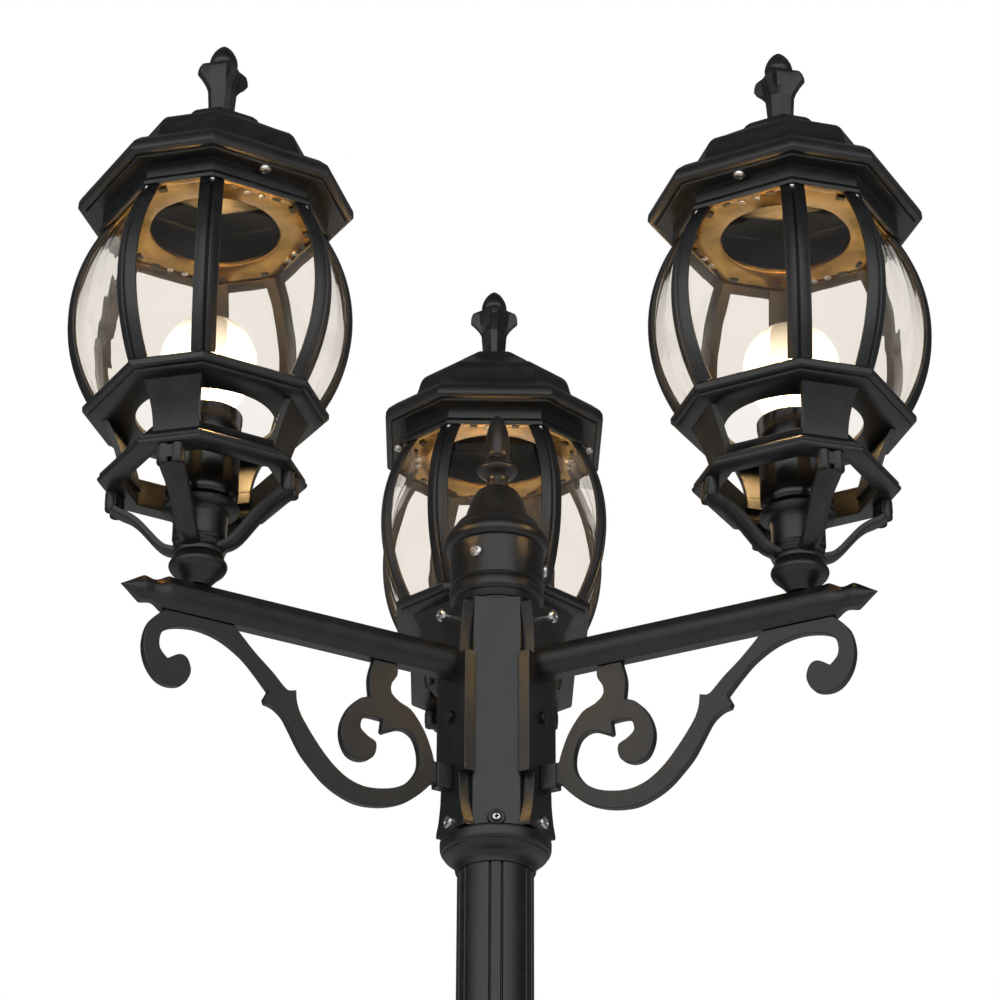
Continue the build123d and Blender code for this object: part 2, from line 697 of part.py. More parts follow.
def basket():
    """Open basket: bottom ring, four panels, and the ring with the globe's floor."""
    top = BASKET_HEIGHT
    bead = BASKET_BEAD_RADIUS
    waist = BASKET_WAIST_RADIUS
    rim = MIDDLE_RING_RADIUS
    bottom_ring = tiers([
        (bead - 3.2, 0),
        (bead - 0.7, 1.3),
        (bead, 2.8),
        (bead - 1.2, 4.6),
        (waist + 1.6, 13.5),
        (waist, 18),
    ]) - tiers([(bead - 16.5, -1), (bead - 16.5, 3), (waist - 3.4, 19)])
    floor_top = top - FLOOR_DEPTH
    top_ring = tiers([
        (rim - 13.4, floor_top - FLOOR_THICKNESS - 1.2),
        (rim - 6.1, floor_top - FLOOR_THICKNESS),
        (rim - 3.8, floor_top - 1.6),
        (rim - 2.3, floor_top - 0.6),
        (rim, floor_top + 0.2),
        (rim, top),
    ])
    top_ring -= rod(FLOOR_HOLE_RADIUS, top)
    recess = rib_corner(0, GLASS_INSET) + GLASS_GAP
    top_ring -= tiers([(recess, floor_top), (recess, top + 1)])
    narrow = cos(HALF_NARROW)
    panel_top = floor_top - FLOOR_THICKNESS
    middle = (17 + panel_top) / 2
    levels = [
        (12.5, waist * narrow + 1, PANEL_WAIST_HALF_WIDTH),
        (17, waist * narrow, PANEL_WAIST_HALF_WIDTH),
        (middle, (waist + rim - 15) / 2 * narrow, PANEL_MIDDLE_HALF_WIDTH),
        (panel_top, (rim - 12.6) * narrow, PANEL_TOP_HALF_WIDTH),
    ]
    sections = []
    for z, face, half in levels:
        plan = Rectangle(PANEL_THICKNESS, 2 * half, align=(Align.MAX, Align.CENTER))
        sections.append((Pos(face, 0, z) * plan).face().outer_wire())
    panel = Solid.make_loft(sections, ruled=True)
    body = top_ring + bottom_ring + [turn(panel, 45 + 90 * k) for k in range(4)]
    hole = rod(LEG_SCREW_RADIUS + SHANK_GAP, 4 + SEAT_GAP)
    for k in range(4):
        for y in (-BOSS_SPACING / 2, BOSS_SPACING / 2):
            body -= turn(Pos(BOSS_DISTANCE, y, 0) * hole, 45 + 90 * k)
    return Pos(0, 0, Z_BASKET) * body


def rib(side):
    """Curved angle rib at one corner, its legs along the two faces that meet there."""
    wide = (cos(HALF_WIDE), -side * sin(HALF_WIDE))
    narrow = (cos(HALF_NARROW), side * sin(HALF_NARROW))
    along_wide = (-sin(HALF_WIDE), -side * cos(HALF_WIDE))
    along_narrow = (-sin(HALF_NARROW), side * cos(HALF_NARROW))

    def point(distance, along, depth, normal):
        x = RIB_WIDEST_RADIUS + distance * along[0] - depth * normal[0]
        y = distance * along[1] - depth * normal[1]
        return (x, y)

    section = Polygon(
        point(RIB_LEG, along_wide, 0, wide),
        point(RIB_GROOVE, along_wide, 0, wide),
        (RIB_WIDEST_RADIUS - 1.5 * RIB_GROOVE, 0),
        point(RIB_GROOVE, along_narrow, 0, narrow),
        point(RIB_LEG, along_narrow, 0, narrow),
        point(RIB_LEG, along_narrow, RIB_THICKNESS, narrow),
        (RIB_WIDEST_RADIUS - RIB_INSET, 0),
        point(RIB_LEG, along_wide, RIB_THICKNESS, wide),
        align=None,
    )
    centre = RIB_WIDEST_RADIUS - RIB_ARC_RADIUS
    hinge = Axis((centre, 0, 0), (0, 1, 0))
    sweep_up = revolve(section, hinge, -37)
    sweep_down = revolve(section, hinge, 33)
    height = CAGE_HEIGHT - REFLECTOR_DEPTH + 1.8
    limits = Box(2 * RIB_ARC_RADIUS, 60, height, align=(Align.CENTER, Align.CENTER, Align.MIN))
    return (Pos(0, 0, RIB_WIDEST_HEIGHT) * (sweep_up + sweep_down)) & limits


def rib_cage():
    """Crown ring with its roof flange and the eight ribs that stand on the basket."""
    crown = CROWN_RADIUS
    top = CAGE_HEIGHT
    sill = top - REFLECTOR_DEPTH
    outer = tiers([
        (crown + 1.8, sill - 2.8),
        (crown - 0.4, sill + 2.9),
        (crown, top),
    ])
    outer += Pos(0, 0, top - CROWN_FLANGE) * extrude(octagon(FLANGE_RADIUS), CROWN_FLANGE)
    lip = tiers([(crown - 0.9, sill - 3.8), (crown - 2.6, sill)])
    opening = tiers([
        (crown - 12, sill - 1),
        (crown - 12, sill + 3),
        (crown - 4, sill + 4),
        (crown - 4, top + 1),
    ])
    body = outer - lip - opening
    ribs = []
    for quarter in (0, 90, 180, 270):
        for side in (-1, 1):
            ribs.append(turn(rib(side), quarter + side * WIDE_HALF_ANGLE))
    body += ribs
    hole = rod(HOLE_RADIUS, CROWN_FLANGE + 2, top - CROWN_FLANGE - 1)
    for y in (-EAVE_SCREW_DISTANCE, EAVE_SCREW_DISTANCE):
        body -= Pos(0, y, 0) * hole
    return Pos(0, 0, Z_CAGE) * body


def globe():
    """Clear eight-sided barrel of glass inside the ribs, open at both ends."""
    bottom = SEAT_GAP - FLOOR_DEPTH
    top = CAGE_HEIGHT - REFLECTOR_DEPTH - REFLECTOR_THICKNESS - SEAT_GAP
    steps = 8
    heights = [bottom + (top - bottom) * i / steps for i in range(steps + 1)]
    outer = [(rib_corner(h, GLASS_INSET), h) for h in heights]
    inner = [(rib_corner(h, GLASS_INSET + GLASS_THICKNESS), h) for h in heights]
    inner[0] = (inner[0][0], bottom - 1)
    inner[-1] = (inner[-1][0], top + 1)
    return Pos(0, 0, Z_CAGE) * (tiers(outer) - tiers(inner))


def reflector():
    """Thin eight-sided plate under the crown, holed for the bulb."""
    radius = rib_corner(CAGE_HEIGHT - REFLECTOR_DEPTH, RIB_INSET) - REFLECTOR_GAP
    plate = extrude(octagon(radius), REFLECTOR_THICKNESS) - rod(REFLECTOR_HOLE_RADIUS, 5, -1)
    return Pos(0, 0, Z_REFLECTOR - REFLECTOR_THICKNESS) * plate


def roof():
    """Hollow tiered roof whose rim hangs round the crown's flange."""
    rim = FLANGE_RADIUS + SEAT_GAP + ROOF_WALL
    top = ROOF_HEIGHT
    drop = CROWN_FLANGE - 1.1
    outer = tiers([
        (rim, -drop),
        (rim + 1.9, 1.2 - drop),
        (rim + 2.5, 2.4 - drop),
        (rim + 2.2, 6.5 - drop),
        (rim + 0.4, 9.6 - drop),
        (rim - 2.3, 12 - drop),
        (rim - 21.3, 22.2),
        (rim - 25.2, 34.2),
        (rim - 27, 38.2),
        (rim - 30.4, 41.7),
        (rim - 35.4, 44.7),
        (rim - 55.8, 59.3),
        (rim - 57.3, 61),
        (rim - 59, 62.8),
        (rim - 65.7, 67.4),
        (rim - 75.8, top),
    ])
    skirt = tiers([(FLANGE_RADIUS + SEAT_GAP, -drop - 1), (FLANGE_RADIUS + SEAT_GAP, 0)])
    hollow = tiers([
        (FLANGE_RADIUS - ROOF_WALL, -1),
        (FLANGE_RADIUS - ROOF_WALL, 4.2),
        (rim - 25.3, 19.7),
        (rim - 29.6, 34),
        (rim - 38.5, 40.5),
        (rim - 59, 55.5),
        (rim - 63, 58.5),
    ])
    boss_top = 12.0
    boss = rod(ROOF_BOSS_RADIUS, boss_top)
    shell = outer - skirt - hollow
    for y in (-EAVE_SCREW_DISTANCE, EAVE_SCREW_DISTANCE):
        shell += (Pos(0, y, 0) * boss) & outer
    for y in (-EAVE_SCREW_DISTANCE, EAVE_SCREW_DISTANCE):
        shell -= Pos(0, y, 0) * rod(HOLE_RADIUS, 6.5)
    return Pos(0, 0, Z_ROOF) * shell


def finial_stem(half, height):
    """Square section of the finial's stem with its corners cut."""
    return Pos(0, 0, height) * chamfer(Rectangle(2 * half, 2 * half).vertices(), FINIAL_STEM_CHAMFER)


def finial_star(tip, valley, height):
    """Four-pointed section of the finial's capital, its points cut flat."""
    corners = []
    half = min(FINIAL_EAR_WIDTH / 2, 0.5 * tip)
    for quarter in (0, 90, 180, 270):
        for y in (-half, half):
            x_turned, y_turned = polar(1, quarter)
            corners.append((tip * x_turned - y * y_turned, tip * y_turned + y * x_turned))
        corners.append(polar(valley, quarter + 45))
    return Pos(0, 0, height) * Polygon(*corners, align=None)


def roof_finial():
    """Finial on the roof: square stem, a four-pointed capital and an acorn."""
    ear = FINIAL_EAR_RADIUS
    foot = FINIAL_STEM_HALF_WIDTH
    stem = [finial_stem(foot, 0), finial_stem(foot + 1.9, 26)]
    capital = [
        finial_star(foot + 1.4, 8.7, 21.6),
        finial_star(ear - 4.8, 9.8, 26.4),
        finial_star(ear, 10.6, 29.4),
        finial_star(ear, 11.4, 34.4),
        finial_star(ear - 1.4, 11, 36.6),
        finial_star(9.2, 8.6, 40.2),
    ]
    body = Solid()
    for sections in (stem, capital):
        body += Solid.make_loft([section.face().outer_wire() for section in sections], ruled=True)
    acorn = turned([
        (0, 38),
        (8.6, 38),
        (9.2, 41.2),
        (9.2, 43),
        (8.5, 46.2),
        (6.9, 49.7),
        (4.6, 53),
        (2, 55.6),
        (0, FINIAL_HEIGHT),
    ])
    return Pos(0, 0, Z_FINIAL) * (body + acorn)


def eave_screws():
    """Two upright screws through the crown's flange into the roof's bosses."""
    seat = Z_CAGE + CAGE_HEIGHT - CROWN_FLANGE
    one = Pos(0, 0, seat) * Rot(180, 0, 0) * screw(CROWN_FLANGE + SEAT_GAP + 5)
    return Compound([Pos(0, y, 0) * one for y in (-EAVE_SCREW_DISTANCE, EAVE_SCREW_DISTANCE)])


def lampholder():
    """Tall sleeve of the bulb's holder on a small foot, open at the top."""
    foot = HOLDER_FOOT
    top = foot + HOLDER_HEIGHT
    edge = HOLDER_RADIUS
    wall = HOLDER_WALL
    sleeve = turned([
        (0, 0),
        (edge - 6, 0),
        (edge - 6, foot),
        (edge - 3.5, foot),
        (edge - 1.2, foot + 1.6),
        (edge - 0.7, foot + 4),
        (edge, top),
        (edge - wall, top),
        (edge - wall - 0.5, foot + wall),
        (0, foot + wall),
    ])
    return Pos(0, 0, Z_HOLDER) * sleeve


def socket_core():
    """Ceramic core of the holder, bored for the bulb's cap."""
    radius = HOLDER_RADIUS - HOLDER_WALL - 0.5 - SEAT_GAP
    bore = rod(CAP_THREAD_RADIUS + SEAT_GAP, CORE_HEIGHT, CORE_FLOOR - SEAT_GAP)
    return Pos(0, 0, Z_CORE) * (rod(radius, CORE_HEIGHT) - bore)


def bulb_base():
    """Screw cap of the bulb with its contact."""
    thread = CAP_THREAD_RADIUS
    cap = turned([
        (0, 0),
        (4.5, 0),
        (4.5, 1.5),
        (thread - 1, 6),
        (thread, 8),
        (thread, BULB_CAP_HEIGHT),
        (0, BULB_CAP_HEIGHT),
    ])
    return Pos(0, 0, Z_BULB) * cap


def bulb_glass():
    """Pear-shaped bulb on its cap."""
    base = BULB_CAP_HEIGHT
    thread = CAP_THREAD_RADIUS
    centre = BULB_HEIGHT - BULB_RADIUS
    shoulder = (0.76 * BULB_RADIUS, centre - 0.65 * BULB_RADIUS)
    neck = turned([
        (0, base),
        (thread - 0.4, base),
        (thread, base + 4),
        (thread + 1.6, base + 9),
        (thread + 4.8, base + 16),
        shoulder,
        (0, centre),
    ])
    return Pos(0, 0, Z_BULB) * (neck + Pos(0, 0, centre) * Sphere(BULB_RADIUS))


# ------------------------------------------------------------------ assembly
def on_lantern(part, direction):
    """Lantern part drawn about its own axis, set over the arm of a direction."""
    return turn(Pos(ARM_REACH, 0, Z_ARM) * part, direction)


def save(name, part):
    """Write one node's file."""
    export_step(part, f"parts/{name}.step")


def main():
    os.makedirs("parts", exist_ok=True)
    save("post_base", post_base())
    save("lower_column", Pos(0, 0, Z_LOWER_COLUMN) * column(LOWER_COLUMN_LENGTH))
    save("column_coupling", column_coupling())
    save("column_spigot", column_spigot())
    save("upper_column", Pos(0, 0, Z_UPPER_COLUMN) * column(UPPER_COLUMN_LENGTH))
    save("hub_collar", hub_collar())
    save("hub_casting", hub_casting())
    save("hub_cap", hub_cap())
    save("hub_finial", hub_finial())
    save("hub_screws", hub_screws())
    save("arm_screws", arm_screws())
    makers = [
        lantern_neck, leg_frame, basket, rib_cage, globe, reflector, roof,
        roof_finial, eave_screws, lampholder, socket_core, bulb_base, bulb_glass,
    ]
    pieces = {maker.__name__: maker() for maker in makers}
    small_screws = leg_screws()
    all_leg_screws = []
    arm_pieces = {
        "arm_bar": arm_body(),
        "arm_plate": arm_plate(),
        "scroll_bracket": scroll_bracket(),
    }
    for side, direction in ARM_DIRECTIONS.items():
        for name, piece in arm_pieces.items():
            save(f"{name}_{side}", on_arm(piece, direction))
        for name, piece in pieces.items():
            save(f"{name}_{side}", on_lantern(piece, direction))
        all_leg_screws += [on_lantern(one, direction) for one in small_screws]
    save("leg_screws", Compound(all_leg_screws))


main()
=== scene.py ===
import math

import bmesh
import bpy
from bpy.props import FloatProperty, FloatVectorProperty, PointerProperty
from mathutils import Matrix, Vector


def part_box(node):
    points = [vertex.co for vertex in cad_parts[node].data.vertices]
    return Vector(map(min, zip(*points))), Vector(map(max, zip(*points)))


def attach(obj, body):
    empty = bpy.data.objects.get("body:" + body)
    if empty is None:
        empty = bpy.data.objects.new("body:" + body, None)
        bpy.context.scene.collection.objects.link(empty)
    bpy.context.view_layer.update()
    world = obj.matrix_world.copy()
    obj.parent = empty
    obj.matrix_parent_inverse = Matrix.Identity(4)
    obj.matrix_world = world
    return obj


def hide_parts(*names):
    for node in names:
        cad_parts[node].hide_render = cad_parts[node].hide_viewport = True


bl_info = {
    "name": "Triple head lamp post",
    "version": (1, 0, 0),
    "blender": (4, 5, 0),
    "location": "View3D > Sidebar > Lamp Post",
    "description": "Dresses a cast lamp post with three lanterns on scrolled arms",
    "category": "Add Mesh",
}

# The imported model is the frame: every piece is placed from its nodes' boxes.
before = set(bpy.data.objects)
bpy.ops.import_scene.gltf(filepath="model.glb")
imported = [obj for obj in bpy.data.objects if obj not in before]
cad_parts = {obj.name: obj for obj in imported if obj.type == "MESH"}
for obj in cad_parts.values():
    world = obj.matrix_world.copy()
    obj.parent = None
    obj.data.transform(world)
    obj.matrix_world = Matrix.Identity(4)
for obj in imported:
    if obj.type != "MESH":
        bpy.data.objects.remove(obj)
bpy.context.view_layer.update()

MM = 0.001
POST = "post"
DIRECTIONS = {"left": 210, "right": 330, "back": 90}
QUARTERS = (0, 90, 180, 270)


def low(node):
    """Height of a node's underside in millimetres."""
    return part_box(node)[0].z / MM


def high(node):
    """Height of a node's top in millimetres."""
    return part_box(node)[1].z / MM


def reach(side):
    """Distance of a lantern's axis from the post's axis, in millimetres."""
    lo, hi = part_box(f"lampholder_{side}")
    return math.hypot(lo.x + hi.x, lo.y + hi.y) / 2 / MM


# A lantern's section is an octagon with four wide faces, one of them square to the arm.
WIDE = 27.4  # half of a wide face's angle, in degrees
CORNERS = [quarter + side * WIDE for quarter in QUARTERS for side in (-1, 1)]

# Seats of a lantern's pieces above the arm's top, in millimetres.
LEGS_SEAT = 19.3
HOLDER_SEAT = 59.0
BASKET_SEAT = 68.0
BULB_SEAT = 78.5
CAGE_SEAT = 121.5
REFLECTOR_SEAT = 248.4
ROOF_SEAT = 263.8
FINIAL_SEAT = 334.8

# The ribs' outer corner follows one arc, widest part of the way up from their feet.
RIB_ARC = 121.0
RIB_WIDEST = 89.7
RIB_WIDEST_HEIGHT = 61.5
RIB_HEIGHT = 130.0
CAGE_HEIGHT = 142.0
FLANGE_UNDERSIDE = 138.6

# A lantern's leg screws stand in pairs, and its two eave screws stand beside the arm's line.
LEG_SCREW_REACH = 56.4
LEG_SCREW_SIDES = (-4.4, 4.4)
EAVE_SCREW_SIDES = (-68.4, 68.4)

# Post, hub and arms: distances from the axis to a face, and heights.
COLUMN_RADIUS = 23.75
HUB_FACE = 25.3
PLATE_FACE = 33.0
HUB_HEIGHT = 154.5
COLLAR_HEIGHT = 21.3
CAP_HEIGHT = 87.7
ARM_DEPTH = 20.0

ARM_TOP = low("basket_left") - BASKET_SEAT
HUB_FOOT = low("hub_casting")
CAP_FOOT = HUB_FOOT + HUB_HEIGHT


def srgb(colour):
    """Three sRGB parts, from 0 to 1, of a hex value."""
    return tuple(int(colour[k:k + 2], 16) / 255 for k in (1, 3, 5))


# ------------------------------------------------------------------ settings
class LampPostSizes(bpy.types.PropertyGroup):
    """Sizes of the fine detail on the castings."""

    edge_radius: FloatProperty(
        name="Edge radius", description="Rounding of the castings' edges",
        default=0.0007, min=0.0, unit="LENGTH")
    grain: FloatProperty(
        name="Coat grain", description="Size of the powder coat's grains as drawn",
        default=0.0011, min=0.0001, unit="LENGTH")
    ripple: FloatProperty(
        name="Glass ripple", description="Distance between the soft waves of the moulded glass",
        default=0.02, min=0.001, unit="LENGTH")
    lamp_power: FloatProperty(
        name="Lamp power", description="Light of each bulb", default=1.7, min=0.0, unit="POWER")


class LampPostColours(bpy.types.PropertyGroup):
    """Colours of the finishes, as sRGB values."""

    coat: FloatVectorProperty(
        name="Powder coat", description="Black of the powder coat where it is palest", subtype="COLOR_GAMMA",
        size=3, min=0.0, max=1.0, default=srgb("#131517"))
    # The globes' faint warm tint paints the bulbs' warm light in the panes; the glass itself is clear.
    glass: FloatVectorProperty(
        name="Glass", description="Tint of the globes", subtype="COLOR_GAMMA",
        size=3, min=0.0, max=1.0, default=srgb("#F6F2ED"))
    glow: FloatVectorProperty(
        name="Glow", description="Colour of the bulbs' light", subtype="COLOR_GAMMA",
        size=3, min=0.0, max=1.0, default=srgb("#FFCC80"))


# ------------------------------------------------------------------ plain geometry
def polar(radius, degrees, z=0.0):
    """Point at a radius, a direction and a height."""
    angle = math.radians(degrees)
    return (radius * math.cos(angle), radius * math.sin(angle), z)


def curve_through(points, steps=8):
    """Points of a smooth curve through the given ones."""
    ends = [points[0]] + list(points) + [points[-1]]
    drawn = []
    for before, start, end, after in zip(ends, ends[1:], ends[2:], ends[3:]):
        for k in range(steps):
            t = k / steps
            drawn.append(tuple(
                0.5 * (2 * p1 + (p2 - p0) * t + (2 * p0 - 5 * p1 + 4 * p2 - p3) * t * t
                       + (3 * p1 - p0 - 3 * p2 + p3) * t ** 3)
                for p0, p1, p2, p3 in zip(before, start, end, after)))
    return drawn + [tuple(points[-1])]


def loft(rings, ends="cap"):
    """Skin over rings of equal length: its ends capped, left open or joined to each other."""
    count = len(rings[0])
    points = [p for ring in rings for p in ring]
    faces = []
    bands = len(rings) if ends == "join" else len(rings) - 1
    for band in range(bands):
        here = band * count
        there = (band + 1) % len(rings) * count
        for k in range(count):
            after = (k + 1) % count
            faces.append((here + k, here + after, there + after, there + k))
    if ends == "cap":
        faces.append(tuple(reversed(range(count))))
        faces.append(tuple(range(len(points) - count, len(points))))
    return points, faces


def circle(radius, z, sides=72):
    """Level ring of points."""
    return [polar(max(radius, 0.05), 360 / sides * k, z) for k in range(sides)]


def octagon(radius, z, per_side=1):
    """Level ring of the lantern's section through its corners."""
    corners = [polar(radius, corner, z) for corner in CORNERS]
    ring = []
    for start, end in zip(corners, corners[1:] + corners[:1]):
        for k in range(per_side):
            t = k / per_side
            ring.append(tuple(a + (b - a) * t for a, b in zip(start, end)))
    return ring


def hole(radius, z, per_side):
    """Level ring of a round hole, point for point with the octagon round it."""
    return [polar(radius, math.degrees(math.atan2(y, x)), z) for x, y, _ in octagon(radius, z, per_side)]


def lathe(profile, ends="cap", sides=72):
    """Turned body from a profile of (radius, height) points."""
    return loft([circle(r, z, sides) for r, z in profile], ends)


def tiers(profile, ends="cap"):
    """Eight-sided body from a profile of (corner radius, height) points."""
    return loft([octagon(r, z) for r, z in profile], ends)


def prism(outline, thickness):
    """Plate with its outline in the XZ plane, centred on that plane."""
    back = [(x, thickness / 2, z) for x, z in outline]
    front = [(x, -thickness / 2, z) for x, z in outline]
    return loft([front, back])


def moved(mesh, matrix):
    """Mesh with its points moved."""
    points, faces = mesh
    return [tuple(matrix @ Vector(p)) for p in points], faces


def joined(*meshes):
    """Several meshes as one."""
    points, faces = [], []
    for more_points, more_faces in meshes:
        offset = len(points)
        points += more_points
        faces += [tuple(i + offset for i in face) for face in more_faces]
    return points, faces


def shift(x=0.0, y=0.0, z=0.0):
    """Move by the given distances."""
    return Matrix.Translation((x, y, z))


def spin(degrees, axis="Z"):
    """Turn about an axis through the origin."""
    return Matrix.Rotation(math.radians(degrees), 4, axis)


def radial(mesh, distance, z, direction):
    """Mesh drawn along +Z, laid down to point out from the post's axis."""
    return moved(mesh, spin(direction) @ shift(distance, 0, z) @ spin(90, "Y"))


# ------------------------------------------------------------------ making pieces
POST_PLACE = Matrix.Scale(MM, 4)
SHARP_ANGLE = math.radians(32)


def lantern_place(side):
    """From a lantern's own millimetres, arm's top at zero, to the row frame."""
    return POST_PLACE @ spin(DIRECTIONS[side]) @ shift(reach(side), 0, ARM_TOP)


def add_piece(name, mesh, place, surface, nodes=(), body=POST, edge=None):
    """Object from a mesh in millimetres: its edges rounded, riding on a body, standing for CAD nodes."""
    points, faces = mesh
    data = bpy.data.meshes.new(name)
    data.from_pydata([tuple(place @ Vector(p)) for p in points], [], faces)
    shaped = bmesh.new()
    shaped.from_mesh(data)
    bmesh.ops.recalc_face_normals(shaped, faces=shaped.faces)
    shaped.to_mesh(data)
    shaped.free()
    data.shade_smooth()
    data.set_sharp_from_angle(angle=SHARP_ANGLE)
    data.materials.append(finish(surface))
    piece = bpy.data.objects.new(name, data)
    bpy.context.scene.collection.objects.link(piece)
    radius = bpy.context.scene.lamp_post_sizes.edge_radius if edge is None else edge * MM
    if radius:
        rounding = piece.modifiers.new("rounded edges", "BEVEL")
        rounding.width = radius
        rounding.segments = 3
        rounding.limit_method = "ANGLE"
        rounding.angle_limit = SHARP_ANGLE
        rounding.harden_normals = True
        rounding.use_clamp_overlap = True
    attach(piece, body)
    if nodes:
        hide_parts(*nodes)


# ------------------------------------------------------------------ materials
def linear(colour):
    """Linear colour with alpha from an sRGB hex value or three sRGB parts."""
    parts = srgb(colour) if isinstance(colour, str) else colour
    return (*(c / 12.92 if c <= 0.04045 else ((c + 0.055) / 1.055) ** 2.4 for c in parts), 1.0)


def add_node(tree, kind, values=None, links=None, **settings):
    """Node with its settings, socket values and incoming links."""
    node = tree.nodes.new(kind)
    for key, value in settings.items():
        setattr(node, key, value)
    for key, value in (values or {}).items():
        node.inputs[key].default_value = value
    for key, source in (links or {}).items():
        tree.links.new(source, node.inputs[key])
    return node


def new_material(name):
    """Empty material and its node tree."""
    material = bpy.data.materials.new(name)
    material.use_nodes = True
    material.node_tree.nodes.clear()
    return material, material.node_tree


def powder_coat():
    """Black polyester powder coat on cast aluminium: satin, with a fine sandy grain."""
    sizes = bpy.context.scene.lamp_post_sizes
    black = bpy.context.scene.lamp_post_colours.coat
    material, tree = new_material("Powder coated cast aluminium")
    place = add_node(tree, "ShaderNodeTexCoord").outputs["Object"]
    # Sprayed film: its black shifts a little from patch to patch, 14 mm across.
    patches = add_node(tree, "ShaderNodeTexNoise", {"Scale": 1 / 0.014, "Detail": 3.0},
                       {"Vector": place})
    tone = add_node(tree, "ShaderNodeValToRGB", links={"Fac": patches.outputs["Fac"]})
    tone.color_ramp.elements[0].position = 0.35
    tone.color_ramp.elements[0].color = linear([0.53 * part for part in black])
    tone.color_ramp.elements[1].position = 0.7
    tone.color_ramp.elements[1].color = linear(black)
    # Grains of about 0.3 mm are finer than a pixel, so they are drawn coarser.
    grain = add_node(tree, "ShaderNodeTexNoise", {"Scale": 1 / sizes.grain, "Detail": 2.0},
                     {"Vector": place})
    # Casting skin under the coat: soft unevenness 6 mm across.
    skin = add_node(tree, "ShaderNodeTexNoise", {"Scale": 1 / 0.006, "Detail": 1.0},
                    {"Vector": place})
    uneven = add_node(tree, "ShaderNodeBump", {"Strength": 0.10, "Distance": 0.0004},
                      {"Height": skin.outputs["Fac"]})
    sandy = add_node(tree, "ShaderNodeBump", {"Strength": 0.3, "Distance": 0.00028},
                     {"Height": grain.outputs["Fac"], "Normal": uneven.outputs["Normal"]})
    sheen = add_node(tree, "ShaderNodeMapRange",
                     {"From Min": 0.3, "From Max": 0.7, "To Min": 0.30, "To Max": 0.40},
                     {"Value": patches.outputs["Fac"]})
    surface = add_node(tree, "ShaderNodeBsdfPrincipled", {"IOR": 1.5},
                       {"Base Color": tone.outputs["Color"], "Normal": sandy.outputs["Normal"],
                        "Roughness": sheen.outputs["Result"]})
    add_node(tree, "ShaderNodeOutputMaterial", links={"Surface": surface.outputs["BSDF"]})
    return material


def holder_plastic():
    """Black phenolic moulding of the bulb holder: smoother and glossier than the coat."""
    material, tree = new_material("Moulded black phenolic")
    place = add_node(tree, "ShaderNodeTexCoord").outputs["Object"]
    flow = add_node(tree, "ShaderNodeTexNoise", {"Scale": 1 / 0.009, "Detail": 2.0},
                    {"Vector": place})
    sheen = add_node(tree, "ShaderNodeMapRange",
                     {"From Min": 0.3, "From Max": 0.7, "To Min": 0.16, "To Max": 0.26},
                     {"Value": flow.outputs["Fac"]})
    tone = add_node(tree, "ShaderNodeValToRGB", links={"Fac": flow.outputs["Fac"]})
    tone.color_ramp.elements[0].color = linear("#060606")
    tone.color_ramp.elements[1].color = linear("#0C0C0C")
    surface = add_node(tree, "ShaderNodeBsdfPrincipled", {"IOR": 1.55},
                       {"Base Color": tone.outputs["Color"],
                        "Roughness": sheen.outputs["Result"]})
    add_node(tree, "ShaderNodeOutputMaterial", links={"Surface": surface.outputs["BSDF"]})
    return material


def ceramic():
    """Glazed white porcelain of the holder's core, a little creamy from heat."""
    material, tree = new_material("Glazed porcelain")
    place = add_node(tree, "ShaderNodeTexCoord").outputs["Object"]
    specks = add_node(tree, "ShaderNodeTexNoise", {"Scale": 1 / 0.003, "Detail": 4.0},
                      {"Vector": place})
    tone = add_node(tree, "ShaderNodeValToRGB", links={"Fac": specks.outputs["Fac"]})
    tone.color_ramp.elements[0].color = linear("#D9D3C4")
    tone.color_ramp.elements[1].color = linear("#EDE9DF")
    surface = add_node(tree, "ShaderNodeBsdfPrincipled", {"IOR": 1.5, "Roughness": 0.22},
                       {"Base Color": tone.outputs["Color"]})
    add_node(tree, "ShaderNodeOutputMaterial", links={"Surface": surface.outputs["BSDF"]})
    return material


def metal(name, pale, dark, smooth, rough, patch):
    """Bare metal whose colour and polish vary between two values, patch metres across."""
    material, tree = new_material(name)
    place = add_node(tree, "ShaderNodeTexCoord").outputs["Object"]
    clouds = add_node(tree, "ShaderNodeTexNoise", {"Scale": 1 / patch, "Detail": 4.0},
                      {"Vector": place})
    tone = add_node(tree, "ShaderNodeValToRGB", links={"Fac": clouds.outputs["Fac"]})
    tone.color_ramp.elements[0].position = 0.3
    tone.color_ramp.elements[0].color = linear(dark)
    tone.color_ramp.elements[1].position = 0.7
    tone.color_ramp.elements[1].color = linear(pale)
    polish = add_node(tree, "ShaderNodeMapRange",
                      {"From Min": 0.3, "From Max": 0.7, "To Min": smooth, "To Max": rough},
                      {"Value": clouds.outputs["Fac"]})
    surface = add_node(tree, "ShaderNodeBsdfPrincipled", {"Metallic": 1.0},
                       {"Base Color": tone.outputs["Color"],
                        "Roughness": polish.outputs["Result"]})
    add_node(tree, "ShaderNodeOutputMaterial", links={"Surface": surface.outputs["BSDF"]})
    return material


